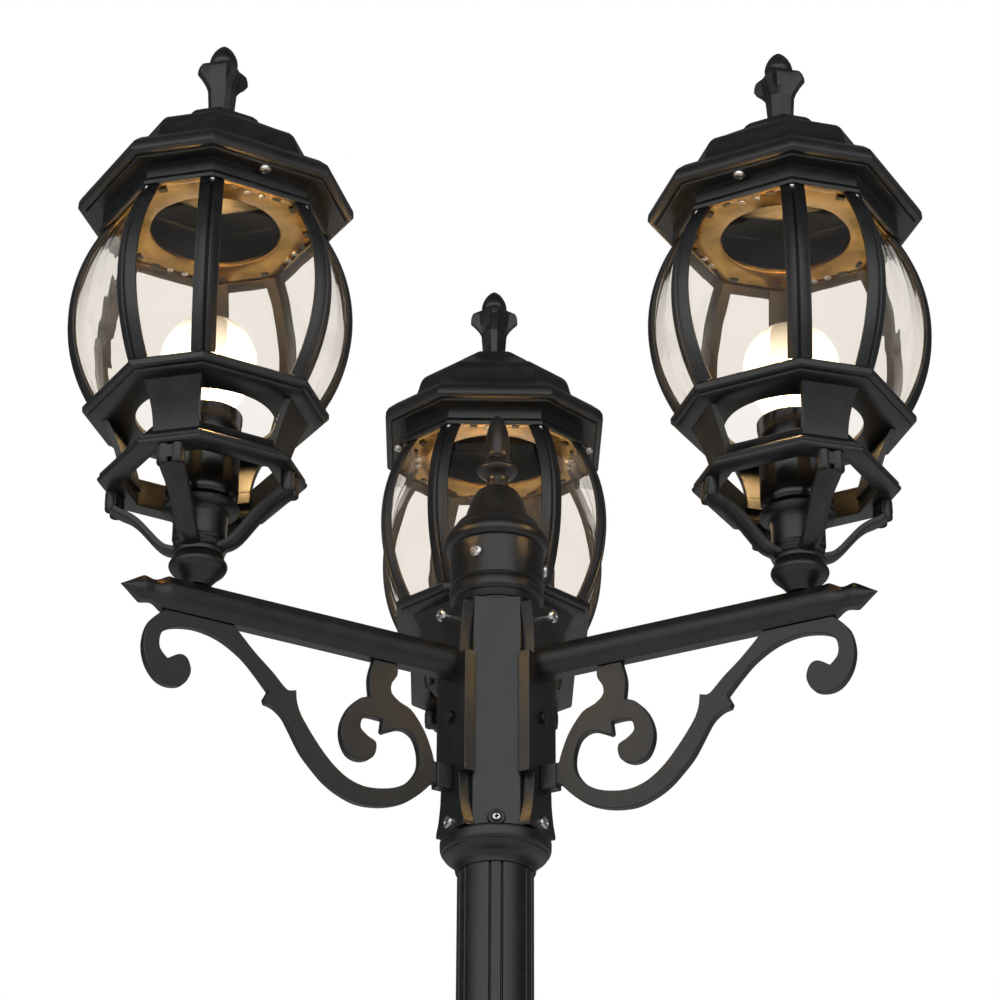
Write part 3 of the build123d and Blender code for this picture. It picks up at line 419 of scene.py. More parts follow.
def globe_glass():
    """Moulded soda lime glass: clear, with a faint warm tint that paints the bulbs' warm light, and soft
    waves; lamps shine through it.
    """
    ripple = bpy.context.scene.lamp_post_sizes.ripple
    # This tint is painted warm light of the bulbs, not a colour of the glass.
    painted_warm_tint = linear(bpy.context.scene.lamp_post_colours.glass)
    material, tree = new_material("Moulded soda lime glass")
    place = add_node(tree, "ShaderNodeTexCoord").outputs["Object"]
    # The waves run up the glass, four times as long as they are wide.
    drawn_up = add_node(tree, "ShaderNodeMapping", {"Scale": (1.0, 1.0, 0.25)}, {"Vector": place})
    waves = add_node(tree, "ShaderNodeTexNoise", {"Scale": 1 / ripple, "Detail": 1.0},
                     {"Vector": drawn_up.outputs["Vector"]})
    uneven = add_node(tree, "ShaderNodeBump", {"Strength": 0.8, "Distance": 0.0009},
                      {"Height": waves.outputs["Fac"]})
    # The IOR is below real glass, because the wall is thin and its two faces bend light too much.
    clear = add_node(tree, "ShaderNodeBsdfPrincipled",
                     {"Base Color": painted_warm_tint, "Transmission Weight": 1.0, "Roughness": 0.0, "IOR": 1.2},
                     {"Normal": uneven.outputs["Normal"]})
    open_way = add_node(tree, "ShaderNodeBsdfTransparent", {"Color": painted_warm_tint})
    ray = add_node(tree, "ShaderNodeLightPath")
    mixed = add_node(tree, "ShaderNodeMixShader",
                     links={"Fac": ray.outputs["Is Shadow Ray"], 1: clear.outputs["BSDF"],
                            2: open_way.outputs["BSDF"]})
    add_node(tree, "ShaderNodeOutputMaterial", links={"Surface": mixed.outputs["Shader"]})
    return material


def lit_bulb():
    """Blown bulb glass, alight: clear, with a warm haze that is strongest low down."""
    material, tree = new_material("Blown bulb glass")
    place = add_node(tree, "ShaderNodeTexCoord").outputs["Generated"]
    height = add_node(tree, "ShaderNodeSeparateXYZ", links={"Vector": place})
    warmth = add_node(tree, "ShaderNodeValToRGB", links={"Fac": height.outputs["Z"]})
    warmth.color_ramp.elements[0].position = 0.1
    warmth.color_ramp.elements[0].color = linear("#FFE8C4")
    warmth.color_ramp.elements[1].position = 0.95
    warmth.color_ramp.elements[1].color = linear("#2A2116")
    warmth.color_ramp.elements.new(0.5).color = linear("#F6E6C8")
    surface = add_node(tree, "ShaderNodeBsdfPrincipled",
                       {"Base Color": linear("#FFFDF8"), "Transmission Weight": 1.0,
                        "Roughness": 0.05, "IOR": 1.12, "Emission Strength": 0.9},
                       {"Emission Color": warmth.outputs["Color"]})
    open_way = add_node(tree, "ShaderNodeBsdfTransparent", {"Color": (1, 1, 1, 1)})
    ray = add_node(tree, "ShaderNodeLightPath")
    mixed = add_node(tree, "ShaderNodeMixShader",
                     links={"Fac": ray.outputs["Is Shadow Ray"], 1: surface.outputs["BSDF"],
                            2: open_way.outputs["BSDF"]})
    add_node(tree, "ShaderNodeOutputMaterial", links={"Surface": mixed.outputs["Shader"]})
    return material


def filament():
    """Glowing filament: its light clips to white in its middle."""
    material, tree = new_material("Glowing filament")
    place = add_node(tree, "ShaderNodeTexCoord").outputs["Object"]
    # Turns of the coil, 2 mm apart as drawn, because the real ones are too fine to show.
    coils = add_node(tree, "ShaderNodeTexNoise", {"Scale": 1 / 0.002}, {"Vector": place})
    warmth = add_node(tree, "ShaderNodeValToRGB", links={"Fac": coils.outputs["Fac"]})
    warmth.color_ramp.elements[0].color = linear("#FFC070")
    warmth.color_ramp.elements[1].color = linear("#FFE9C0")
    surface = add_node(tree, "ShaderNodeBsdfPrincipled",
                       {"Base Color": linear("#FFE2A8"), "Emission Strength": 14.0},
                       {"Emission Color": warmth.outputs["Color"]})
    add_node(tree, "ShaderNodeOutputMaterial", links={"Surface": surface.outputs["BSDF"]})
    return material


METALS = {
    # Rolled tube, left bare: bright and faintly cloudy.
    "aluminium": ("Bright rolled aluminium", "#D9D6CF", "#B4AFA4", 0.22, 0.36, 0.02),
    # Gold colour painted for the bulbs' warm light on the plate: a polished sheet with darker patches.
    "reflector": ("Aluminium sheet in painted warm bulb light", "#CFA55C", "#957032", 0.12, 0.24, 0.02),
    # Zinc plating drawn dark and dull as painted shade of the legs' screw tubes, so these screws hardly
    # show.
    "shade_darkened_plating": ("Zinc plated steel in painted shade", "#4A4A4C", "#262628", 0.3, 0.45, 0.003),
    # Bright plating: sharp highlights on every screw head.
    "plated": ("Bright zinc plated steel", "#DAD9D6", "#A9A8A4", 0.12, 0.3, 0.003),
    # Thin rolled cap: yellow, a little brown between the threads.
    "brass": ("Rolled brass", "#D9BF86", "#B08E50", 0.2, 0.34, 0.004),
}
OTHER_FINISHES = {
    "coat": powder_coat,
    "holder": holder_plastic,
    "ceramic": ceramic,
    "globe": globe_glass,
    "bulb": lit_bulb,
    "filament": filament,
}
# Materials made so far, by their short names.
MADE = {}


def finish(name):
    """Material by its short name, made at its first use."""
    if name not in MADE:
        MADE[name] = metal(*METALS[name]) if name in METALS else OTHER_FINISHES[name]()
    return MADE[name]


# ------------------------------------------------------------------ fasteners
def screw_head(radius, height):
    """Pan head with a cross recess, its underside at the origin, pointing up +Z."""
    sides = 24
    dome = [(radius, 0), (radius, 0.35 * height), (0.93 * radius, 0.7 * height),
            (0.75 * radius, 0.93 * height), (0.55 * radius, height)]
    points, faces = loft([circle(r, z, sides) for r, z in dome], "open")
    arm, half = 0.5 * radius, 0.15 * radius
    cross = [spin(quarter) @ Vector((x, y, 0))
             for quarter in QUARTERS for x, y in ((half, half), (arm, half), (arm, -half))]
    cross.sort(key=lambda p: math.atan2(p.y, p.x))
    data = bmesh.new()
    verts = [data.verts.new(p) for p in points]
    for face in faces + [tuple(reversed(range(sides)))]:
        data.faces.new([verts[i] for i in face])
    top = [data.verts.new((p.x, p.y, height)) for p in cross]
    bottom = [data.verts.new((0.7 * p.x, 0.7 * p.y, 0.45 * height)) for p in cross]
    edges = [data.edges.get((a, b)) or data.edges.new((a, b))
             for loop in (verts[-sides:], top) for a, b in zip(loop, loop[1:] + loop[:1])]
    bmesh.ops.bridge_loops(data, edges=edges)
    for k in range(len(top)):
        after = (k + 1) % len(top)
        data.faces.new((top[k], top[after], bottom[after], bottom[k]))
    data.faces.new(bottom)
    data.verts.index_update()
    result = ([tuple(v.co) for v in data.verts],
              [tuple(v.index for v in face.verts) for face in data.faces])
    data.free()
    return result


def screw(radius, height, length, shank):
    """Cross head screw along Z: head above the origin and shank below it."""
    stem = lathe([(shank, -length), (shank, 0.2)], sides=20)
    threads = [(shank * (1.0 if k % 2 else 0.88), -length + 0.5 * k) for k in range(int(length))]
    if len(threads) > 2:
        stem = joined(stem, lathe(threads, sides=20))
    return joined(screw_head(radius, height), stem)


# ------------------------------------------------------------------ post pieces
def post_base_mesh():
    """Bolt flange, ogee bell and fillets up to the column's socket."""
    outer = [(125, 0), (125, 12), (98, 15), (96, 22), (90, 26)]
    bell = curve_through([(90, 26), (84, 46), (62, 68), (48, 86), (41.8, 108)], 8)
    upper = [(46.8, 111), (46.8, 118), (39.8, 124), (31.8, 292), (36.8, 298), (36.8, 310),
             (31.8, 320), (COLUMN_RADIUS, 320), (COLUMN_RADIUS, 280), (20, 280), (20, 92),
             (78, 30), (82, 0)]
    return lathe(outer + bell[1:] + upper, "join", 96)


def column_mesh(foot, length):
    """Round tube with six reeds, each between two fine grooves."""
    groove = ((-1.4, 23.55), (-0.8, 23.1), (0.0, 22.4), (1.2, 22.4), (2.0, 23.1), (2.6, 23.55))
    offsets = [(-18, 23.6), (-14, 23.6)]
    offsets += [(angle - 9.6, radius) for angle, radius in groove]
    offsets += [(-4, 23.6), (0, 23.6), (4, 23.6)]
    offsets += [(9.6 - angle, radius) for angle, radius in reversed(groove)]
    offsets += [(angle, 23.6) for angle in range(14, 39, 4)]
    ring = [(60 * k + 30 + offset, radius) for k in range(6) for offset, radius in offsets]
    outer = [[polar(r, a, z) for a, r in ring] for z in (foot, foot + length)]
    inner = [[polar(20, a, z) for a, r in ring] for z in (foot + length, foot)]
    return loft(outer + inner, "join")


def collar_mesh():
    """Collar under the hub: flared foot, cove and a broad round lip."""
    lip = curve_through([(24.7, 0), (25.4, 3.2), (26.2, 5.2), (27.6, 6.6), (30.2, 8.2), (32.2, 10.2),
                         (32.6, 11.6)], 4)
    band = curve_through([(33.6, 12.2), (34.3, 14.0), (34.5, 17.4), (34.3, 19.8), (32.9, COLLAR_HEIGHT)], 4)
    inside = [(19, COLLAR_HEIGHT), (19, 10.3), (COLUMN_RADIUS, 10.3), (COLUMN_RADIUS, 0)]
    return moved(lathe(lip + band + inside, "join", 96), shift(z=HUB_FOOT - COLLAR_HEIGHT))


def hub_mesh():
    """Six-sided hub and the round neck under its cap."""
    corner = HUB_FACE / math.cos(math.radians(30))
    six = [circle(corner, z, 6) for z in (0, HUB_HEIGHT)]
    return moved(joined(loft(six), lathe([(25.8, 153), (25.8, 191)])), shift(z=HUB_FOOT))


def cap_mesh():
    """Cap: fillet, rounded ring, plain band, overhanging lip, steps and dome."""
    under = [(25.9, 0.4), (26.8, 0.4), (27.4, 1.4), (27.6, 4.2), (27.9, 4.8)]
    ring = curve_through([(28.6, 5.1), (30.1, 7.0), (30.3, 9.4), (30.0, 12.4), (29.2, 14.6)], 4)
    band = [(28.9, 14.9), (28.9, 15.5), (29.6, 15.8), (30, 16.4), (30, 41.4), (30.2, 41.7)]
    lip = curve_through([(31.8, 42.1), (33.3, 44.2), (33.8, 47.0), (33.2, 49.7), (31.4, 53),
                         (28.7, 56.2)], 4)
    bead = curve_through([(27.9, 56.5), (27.7, 57.4), (26.8, 59.3), (24.8, 61.4), (22.6, 63.1)], 3)
    dome = curve_through([(21.6, 63.6), (20.2, 67.6), (18.8, 72.2), (17.2, 76.6), (15.2, 81.2)], 4)
    top = curve_through([(14.5, 81.6), (14.2, 82.6), (13.3, 84), (11.6, 85.4), (9.4, 86.8),
                         (8.2, 87.6)], 3)
    inside = [(8, CAP_HEIGHT), (4, CAP_HEIGHT), (4, 64), (25.9, 45)]
    profile = under + ring + band + lip + bead + dome + top + inside
    return moved(lathe(profile, "join", 96), shift(z=CAP_FOOT))


def cap_finial_mesh():
    """Flared dish and spear of the hub's cap."""
    neck = [(0, 0), (7.9, 0), (8.0, 0.7), (7.6, 1.4), (7.0, 1.7), (7.0, 2.2), (7.4, 2.5), (7.3, 3.2)]
    dish = curve_through([(6.8, 5.0), (7.5, 7.0), (9.4, 8.7), (11.8, 10.4), (13.1, 12.2), (13.1, 13.6),
                          (12.2, 14.9), (10.0, 16.9), (8.6, 18.6)], 4)
    ring = [(8.3, 19.0), (8.2, 19.9), (7.2, 20.4), (6.6, 21.2), (6.6, 22.2), (7.2, 22.6), (7.5, 23.2)]
    spear = curve_through([(7.7, 24.4), (7.8, 28), (7.8, 34.4), (7.4, 38), (6.7, 41.8), (5.0, 48.1),
                           (3.2, 51.7), (1.4, 53.4), (0, 54)], 4)
    return moved(lathe(neck + dish + ring + spear), shift(z=CAP_FOOT + CAP_HEIGHT))


def coupling_mesh(middle):
    """Moulded ring over the joint of the columns."""
    half = [(COLUMN_RADIUS, -28), (26.2, -28), (27.6, -26.6), (27.75, -24), (27.75, -19), (28.6, -17.6)]
    waist = curve_through([(28.6, -17.6), (30.4, -11), (31.75, -6), (32, 0)], 5)
    lower = half + waist
    upper = [(r, -z) for r, z in reversed(lower[:-1])]
    return moved(lathe(lower + upper, "join", 96), shift(z=middle))


# ------------------------------------------------------------------ arm pieces
def arm_mesh():
    """Arm from the plate to its bead and spear point, along +X, top face at zero."""
    half = [(5.2, 0.0), (6.0, -0.3), (6.8, -1.4), (7.4, -2.6), (9.1, -4.9), (9.8, -5.9), (10.0, -6.6),
            (9.6, -7.4), (9.3, -9), (8.9, -11.4), (8.0, -14), (6.6, -16.6), (5.6, -18.2), (4.6, -19.2),
            (4.0, -ARM_DEPTH)]
    section = half + [(-y, z) for y, z in reversed(half)]
    middle = -0.46 * ARM_DEPTH
    stations = [(PLATE_FACE, 1), (228, 1), (229.6, 1.03), (231.2, 1.02), (233, 0.93), (235.6, 0.78),
                (237.6, 0.69), (239.4, 0.66), (241, 0.67), (243.4, 0.72), (245.6, 0.76), (246.8, 0.75),
                (250, 0.57), (255, 0.27), (258.6, 0.07), (259.6, 0.02)]
    rings = [[(x, y * scale, middle + (z - middle) * scale) for y, z in section]
             for x, scale in stations]
    return loft(rings)


def plate_mesh():
    """Mounting plate with scalloped sides, standing on the hub's face."""
    low_side = curve_through([(16.5, 0), (16.5, 3), (14.2, 9), (12.1, 19.2), (11.6, 27), (11, 35)], 4)
    high_side = curve_through([(11, 115.5), (11.4, 123), (12, 132), (13.6, 142), (15.5, 150)], 4)
    half = low_side + [(17.5, 35), (17.5, 115.5)] + high_side
    outline = half + [(-x, z) for x, z in reversed(half)]
    thickness = PLATE_FACE - HUB_FACE
    standing = spin(90) @ shift(0, -HUB_FACE - thickness / 2, HUB_FOOT - ARM_TOP)
    return moved(prism(outline, thickness), standing)


SCROLL_RUNS = (
    ((231, 0), (240.6, -10.3), (243.7, -24), (241, -36.5), (234, -45.4), (225.4, -48),
     (216.5, -45.2), (212.1, -36.5), (214.6, -28.4), (220, -26.6), (227.7, -31.1)),
    ((227.7, -31.1), (233, -25), (232.3, -15.6), (225, -10.2), (209.9, -7.7), (194, -10.5),
     (179.7, -18), (170.3, -26.1), (160.1, -36.9)),
    ((160.1, -36.9), (163, -42.6)),
    ((163, -42.6), (162, -45.3)),
    ((162, -45.3), (155.9, -46.8), (149.7, -51.3), (145, -58.2), (137, -70.9), (129.1, -79.3),
     (119.8, -87.4), (109, -93.1), (96.7, -96.3), (81.4, -95.1), (67.6, -90.5), (56.8, -83.3),
     (46, -72.5)),
    ((46, -72.5), (33, -75)),
    ((33, -75), (33, -58.5)),
    ((33, -58.5), (45.5, -58.5)),
    ((45.5, -58.5), (47.9, -50.7), (52.8, -39.9), (61.7, -28.5), (70.5, -24.4), (76.1, -19.7),
     (76.2, -13.8), (72.4, -7), (72.5, 0)),
    ((72.5, 0), (89, 0)),
    ((89, 0), (91.9, -12.8), (90.8, -25.2)),
    ((90.8, -25.2), (98.5, -28.4), (106, -36.7), (110.3, -47.8), (109.8, -58), (104.8, -66.5),
     (96, -68.4), (87.8, -64), (86.2, -55.1), (92.5, -51.3), (97.3, -46.5), (94, -39.2),
     (81.9, -38.8)),
    ((81.9, -38.8), (82.8, -46.3)),
    ((82.8, -46.3), (81, -47.4)),
    ((81, -47.4), (74.8, -44.3), (69.3, -42.3), (63.8, -43), (59, -47.1), (56, -56.8),
     (57, -66.5), (64, -76), (75, -82), (90.9, -84.7), (103, -82.5), (112, -77.5),
     (120.3, -70.3), (129.8, -59.3), (137.8, -48), (141, -40), (141.8, -32.5)),
    ((141.8, -32.5), (145.9, -33.7)),
    ((145.9, -33.7), (149.5, -32.5), (158.4, -24.1), (170.9, -13.8), (185, 0)),
    ((185, 0), (231, 0)),
)


def bracket_mesh():
    """Scrolled bracket under the arm and its foot on the plate."""
    outline = []
    for run in SCROLL_RUNS:
        outline += curve_through(run, 6)[:-1] if len(run) > 2 else [run[0]]
    face = prism(outline, 5.5)
    foot = [[(x, y, z) for y, z in ((-4, -75), (4, -75), (4, -58.5), (-4, -58.5))]
            for x in (PLATE_FACE, 44)]
    return moved(joined(face, loft(foot)), shift(z=-ARM_DEPTH))


# ------------------------------------------------------------------ lantern pieces
def neck_mesh():
    """Turned neck: cone, round bulge and top."""
    side = curve_through([(8.3, 0), (9.6, 3), (13.2, 7), (16.4, 10), (17.8, 13), (17.4, 15.2),
                          (16.2, 16.9), (15.2, 18.2), (14.8, LEGS_SEAT)], 4)
    return lathe([(0, 0)] + side + [(0, LEGS_SEAT)])


def leg_frame_mesh():
    """Stem with two beads and a cup, four ridged S legs and their paired screw tubes."""
    stem = lathe([
        (0, 0), (14.2, 0), (15.6, 0.8), (15.9, 2.4), (15.4, 4.4), (14.4, 5.4), (14.6, 6.2),
        (15.6, 7.2), (15.9, 8.4), (15.4, 9.6), (15.6, 10.4), (16.6, 11.4), (16.6, 26.2),
        (17.4, 27.8), (19.0, 28.8), (22.4, 30.1), (23.3, 31.2), (23.3, 33.4), (22.4, 34.4),
        (17.4, 34.8), (17.0, 35.8), (0, 35.8)])
    centre = curve_through([(11, 4.6), (20, 7.0), (25.4, 11.2), (31, 17.6), (38, 25.6), (44.5, 31.0),
                            (51, 34.6), (57, 38.6)], 5)
    ridge = [(0.9, 0.55), (0.78, 0.62), (0.6, 0.8), (0.3, 0.97)]
    section = [(-1, -0.8), (-1, 0.2), *((-y, n) for y, n in ridge), (0, 1.0), *reversed(ridge),
               (1, 0.2), (1, -0.8)]
    rings = []
    for k, (x, z) in enumerate(centre):
        ahead = centre[min(k + 1, len(centre) - 1)]
        behind = centre[max(k - 1, 0)]
        along = Vector((ahead[0] - behind[0], ahead[1] - behind[1])).normalized()
        out = Vector((along.y, -along.x))
        t = k / (len(centre) - 1)
        half = 6.6 + 1.3 * max(0.0, 2 * t - 1) - 1.0 * max(0.0, 1 - 3 * t)
        thick = 3.0 - 0.3 * t
        ring = []
        for y, n in section:
            ring.append((x + out.x * n * thick, y * half, z + out.y * n * thick))
        rings.append(ring)
    leg = loft(rings)
    tubes = []
    for y in LEG_SCREW_SIDES:
        tube = lathe([(1.6, 40), (1.6, 37.7), (3.1, 37.7), (3.2, 36.3), (3.7, 36.0), (4.2, 36.9),
                      (4.2, 48.7), (1.6, 48.7)], "join", 32)
        tubes.append(moved(tube, shift(LEG_SCREW_REACH, y, 0)))
    web = loft([[(52.6, -7.4, z), (60.0, -7.4, z), (60.0, 7.4, z), (52.6, 7.4, z)]
                for z in (39.4, 47.6)])
    one = joined(leg, web, *tubes)
    legs = [moved(one, spin(45 + quarter)) for quarter in QUARTERS]
    return moved(joined(stem, *legs), shift(z=LEGS_SEAT))


def basket_mesh():
    """Ring with the globe's floor, four curved panels and the moulded bottom ring."""
    per_side = 9
    ring_top = 53.5
    floor = ring_top - 5.5
    rim = 76.15

    def eight(radius, z):
        return octagon(radius, z, per_side)

    top_ring = loft([
        hole(43, floor - 3, per_side), eight(62.8, floor - 4.2), eight(70.0, floor - 3),
        eight(72.3, floor - 1.9), eight(72.6, floor - 1.0), eight(72.2, floor - 0.5),
        eight(74.6, floor - 0.2), eight(76.1, floor + 0.8), eight(rim + 0.1, ring_top - 1.4),
        eight(rim - 0.8, ring_top), eight(70.6, ring_top), eight(70.2, floor),
        hole(43, floor, per_side)], "join")
    bottom_ring = tiers([
        (61.0, 0), (63.4, 0.9), (64.2, 2.4), (64.1, 3.5), (63.1, 4.1), (62.6, 4.3), (62.6, 4.8),
        (63.0, 5.2), (62.8, 6.8), (61.7, 7.6), (61.0, 7.9), (60.8, 8.5), (59.6, 9.1), (55.0, 10.2),
        (53.2, 12.4), (52.0, 18.0), (49.0, 18.0), (50.4, 12.4), (49.4, 3.4), (49.4, 0)], "join")
    narrow = math.cos(math.radians(45 - WIDE))
    foot = 9.0
    rings = []
    steps = 10
    for k in range(steps + 1):
        t = k / steps
        z = foot + (floor - 3 - foot) * t
        face = (51.6 + (64.6 - 51.6) * (0.55 * t + 0.45 * t * t)) * narrow
        half = 15.2 + 3.3 * t * t - 1.1 * math.sin(math.pi * t)
        rings.append([(face - 4.2, -half, z), (face, -half, z), (face, half, z), (face - 4.2, half, z)])
    panel = loft(rings)
    panels = [moved(panel, spin(45 + quarter)) for quarter in QUARTERS]
    return moved(joined(top_ring, bottom_ring, *panels), shift(z=BASKET_SEAT))


def rib_corner(height, inset=0.0):
    """Radius of the ribs' outer corner above their feet, or of an arc inside it."""
    rise = height - RIB_WIDEST_HEIGHT
    arc = RIB_ARC - inset
    return RIB_WIDEST - RIB_ARC + math.sqrt(arc * arc - rise * rise)


def rib_mesh(side):
    """Angle rib with a rolled groove down its corner and a step along each leg."""
    wide = math.radians(WIDE)
    narrow = math.radians(45 - WIDE)
    legs = (((-math.sin(wide), -side * math.cos(wide)), (math.cos(wide), -side * math.sin(wide))),
            ((-math.sin(narrow), side * math.cos(narrow)), (math.cos(narrow), side * math.sin(narrow))))

    def corner(leg, distance, depth):
        (along_x, along_y), (normal_x, normal_y) = legs[leg]
        return (distance * along_x - depth * normal_x, distance * along_y - depth * normal_y)

    section = [corner(0, 8.4, 2.6), corner(0, 8.6, 0.9), corner(0, 8.0, 0.35), corner(0, 6.6, 0.3),
               corner(0, 6.1, 0.0), corner(0, 1.9, 0.0), corner(0, 1.3, 0.5), (-2.3, 0.0),
               corner(1, 1.3, 0.5), corner(1, 1.9, 0.0), corner(1, 6.1, 0.0), corner(1, 6.6, 0.3),
               corner(1, 8.0, 0.35), corner(1, 8.6, 0.9), corner(1, 8.4, 2.6), (-3.3, 0.0)]
    steps = 26
    rings = []
    for k in range(steps + 1):
        height = RIB_HEIGHT * k / steps
        tilt = math.asin((height - RIB_WIDEST_HEIGHT) / RIB_ARC)
        outer = rib_corner(height)
        rings.append([(outer + x * math.cos(tilt), y, height + x * math.sin(tilt))
                      for x, y in section])
    return loft(rings)


def cage_mesh():
    """Crown ring, its flange and the eight ribs."""
    crown = 71.97
    flange = crown + 10.55
    sill = CAGE_HEIGHT - 13.9
    ring = tiers([
        (crown - 2.6, sill), (crown - 0.9, sill - 3.6), (crown + 1.2, sill - 3.8),
        (crown + 1.8, sill - 2.4), (crown + 1.5, sill - 0.6), (crown - 0.4, sill + 1.6),
        (crown - 0.3, FLANGE_UNDERSIDE), (flange - 0.4, FLANGE_UNDERSIDE),
        (flange, FLANGE_UNDERSIDE + 0.6), (flange, CAGE_HEIGHT - 0.4), (flange - 0.4, CAGE_HEIGHT),
        (crown - 4, CAGE_HEIGHT), (crown - 4, sill + 4), (crown - 12, sill + 2.8), (crown - 12, sill)],
        "join")
    ribs = [moved(rib_mesh(side), spin(quarter + side * WIDE)) for quarter in QUARTERS for side in (-1, 1)]
    return moved(joined(ring, *ribs), shift(z=CAGE_SEAT))


def rivets_mesh():
    """Plated rivet at the head of each rib."""
    rivet = lathe([(1.9, -1.5), (1.9, 0.1), (1.6, 0.8), (0.9, 1.3), (0, 1.4)], sides=20)
    height = 123.5
    on_rib = shift(rib_corner(height) - 1.9, 0, height) @ spin(60, "Y")
    heads = [moved(rivet, spin(corner) @ on_rib) for corner in CORNERS]
    return moved(joined(*heads), shift(z=CAGE_SEAT))


def globe_mesh():
    """Eight-sided barrel of moulded glass, open at both ends."""
    foot, top, steps = -5.2, 126.6, 24
    heights = [foot + (top - foot) * k / steps for k in range(steps + 1)]
    outer = [(rib_corner(h, 4.05), h) for h in heights]
    inner = [(rib_corner(h, 6.55), h) for h in reversed(heights)]
    return moved(tiers(outer + inner, "join"), shift(z=CAGE_SEAT))


def reflector_mesh():
    """Thin plate with a rolled hole."""
    per_side = 12
    rings = [octagon(67.2, 0.0, per_side), octagon(67.2, 1.2, per_side)]
    rings += [hole(radius, z, per_side)
              for radius, z in ((42.2, 1.2), (41.2, 2.6), (40.4, 2.6), (41.0, 0.6), (42.0, 0.0))]
    return moved(loft(rings, "join"), shift(z=REFLECTOR_SEAT))


def reflector_tabs_mesh():
    """Black tabs of the reflector's rim, bent down in pairs between its screws."""
    tabs = []
    for direction in range(0, 360, 45):
        for y in (-15, 15):
            tab = loft([[(54.2, y - 2.6, z), (57.4, y - 2.6, z), (57.4, y + 2.6, z), (54.2, y + 2.6, z)]
                        for z in (-0.9, 0.3)])
            tabs.append(moved(tab, spin(direction)))
    return moved(joined(*tabs), shift(z=REFLECTOR_SEAT))


def reflector_screws_mesh():
    """Small screws that hold the reflector, in pairs under the crown."""
    heads = []
    for quarter in QUARTERS:
        for y in (-5, 5):
            heads.append(moved(screw_head(2.4, 1.4), spin(quarter) @ shift(54.5, y, 0) @ spin(180, "X")))
    return moved(joined(*heads), shift(z=REFLECTOR_SEAT))


def roof_mesh():
    """Hollow eight-sided roof: crisp rim, brim, flank, round shoulder, slope and tier."""
    rim = 85.57
    drop = 2.3
    outer = [(rim, -drop), (rim + 1.9, 1.3 - drop), (rim + 2.4, 2.2 - drop), (rim + 2.3, 3.6 - drop),
             (rim + 2.1, 6.4 - drop), (rim + 0.5, 9.4 - drop), (rim - 2.3, 12 - drop),
             (rim - 6, 13.0), (rim - 20.6, 21.2), (rim - 21.4, 22.4)]
    flank = curve_through([(rim - 22.2, 24.4), (rim - 23.8, 29.2), (rim - 25.2, 34.2), (rim - 27.0, 38.2),
                           (rim - 30.4, 41.7), (rim - 35.4, 44.7)], 3)
    slope = [(rim - 53.6, 57.2), (rim - 55.2, 58.4), (rim - 55.8, 59.4)]
    tier = curve_through([(rim - 56.2, 60.4), (rim - 57.3, 61.6), (rim - 60, 64.0), (rim - 65.7, 67.4),
                          (rim - 72, 69.6), (rim - 75.8, 71.0)], 3)
    inner = [(rim - 77.4, 71.0), (rim - 77.0, 64), (rim - 63, 58.0), (rim - 59, 55.2), (rim - 38.5, 40.2),
             (rim - 29.6, 33.6), (rim - 25.3, 19.7), (rim - 6.3, 4.2), (rim - 3, 0.2), (rim - 3, -drop)]
    return moved(tiers(outer + flank + slope + tier + inner, "join"), shift(z=ROOF_SEAT))


def star(tip, valley, z):
    """Level ring of the capital: four points along and across the arm, and flats between them."""
    ring = []
    for quarter in QUARTERS:
        point = (tip, quarter, min(2.2, 0.3 * tip))
        flat = (valley, quarter + 45, 0.55 * valley)
        for distance, turn, half in (point, flat):
            ring += [tuple(spin(turn) @ Vector((distance, y, z))) for y in (-half, half)]
    return ring


def roof_finial_mesh():
    """Square stem with cut corners, four-pointed capital and acorn."""
    stem = loft([star(1.13 * half, half, z) for half, z in (
        (8.0, 0), (7.9, 0.6), (7.2, 1.6), (7.4, 6), (7.9, 14), (8.3, 20), (8.4, 27))])
    capital = loft([star(tip, valley, z) for tip, valley, z in (
        (9.4, 8.3, 19.6), (11.2, 8.7, 23.0), (13.8, 9.2, 26.2), (16.6, 9.6, 28.8), (17.3, 9.7, 29.8),
        (17.0, 9.9, 33.2), (16.0, 10.0, 36.2), (15.3, 9.9, 37.0), (12.4, 9.4, 38.4), (9.4, 8.8, 39.4))])
    acorn = lathe([(8.0, 38.4)] + curve_through([(8.7, 39.8), (9.2, 42.0), (9.1, 43.4), (8.4, 46.4),
                                                 (6.6, 50.2), (4.4, 53.2), (2.0, 55.4), (0.3, 56.2)], 4),
                  sides=48)
    return moved(joined(stem, capital, acorn), shift(z=FINIAL_SEAT))


def holder_mesh():
    """Holder's sleeve on its foot."""
    round_foot = curve_through([(17, -3.4), (19.6, -3.0), (21.4, -1.4), (22.2, 1.4), (22.4, 4)], 4)
    mouth = [(22.4, 50), (22.9, 52), (23, 56.6), (22.5, 57.3), (20.5, 57.4)]
    profile = [(0, -3.6)] + round_foot + mouth + [(20, 5.5), (0, 5.5)]
    return moved(lathe(profile), shift(z=HOLDER_SEAT))


def core_mesh():
    """Porcelain core with the bulb's socket."""
    profile = [(19.6, 0), (19.6, 46.2), (18.8, 47), (14.4, 47), (13.5, 46), (13.5, 13.7)]
    return moved(lathe(profile), shift(z=HOLDER_SEAT + 5.5))


def bulb_cap_mesh():
    """Edison screw cap with rolled threads."""
    profile = [(0, 0), (4.5, 0), (4.5, 1.5), (8, 3.6), (12.2, 6)]
    for k in range(9):
        z = 7 + 2.6 * k
        profile += [(12.3, z), (13.0, z + 0.9), (13.2, z + 1.3), (13.0, z + 1.7)]
    profile += [(12.9, 31), (0, 31)]
    return moved(lathe(profile, sides=48), shift(z=BULB_SEAT))


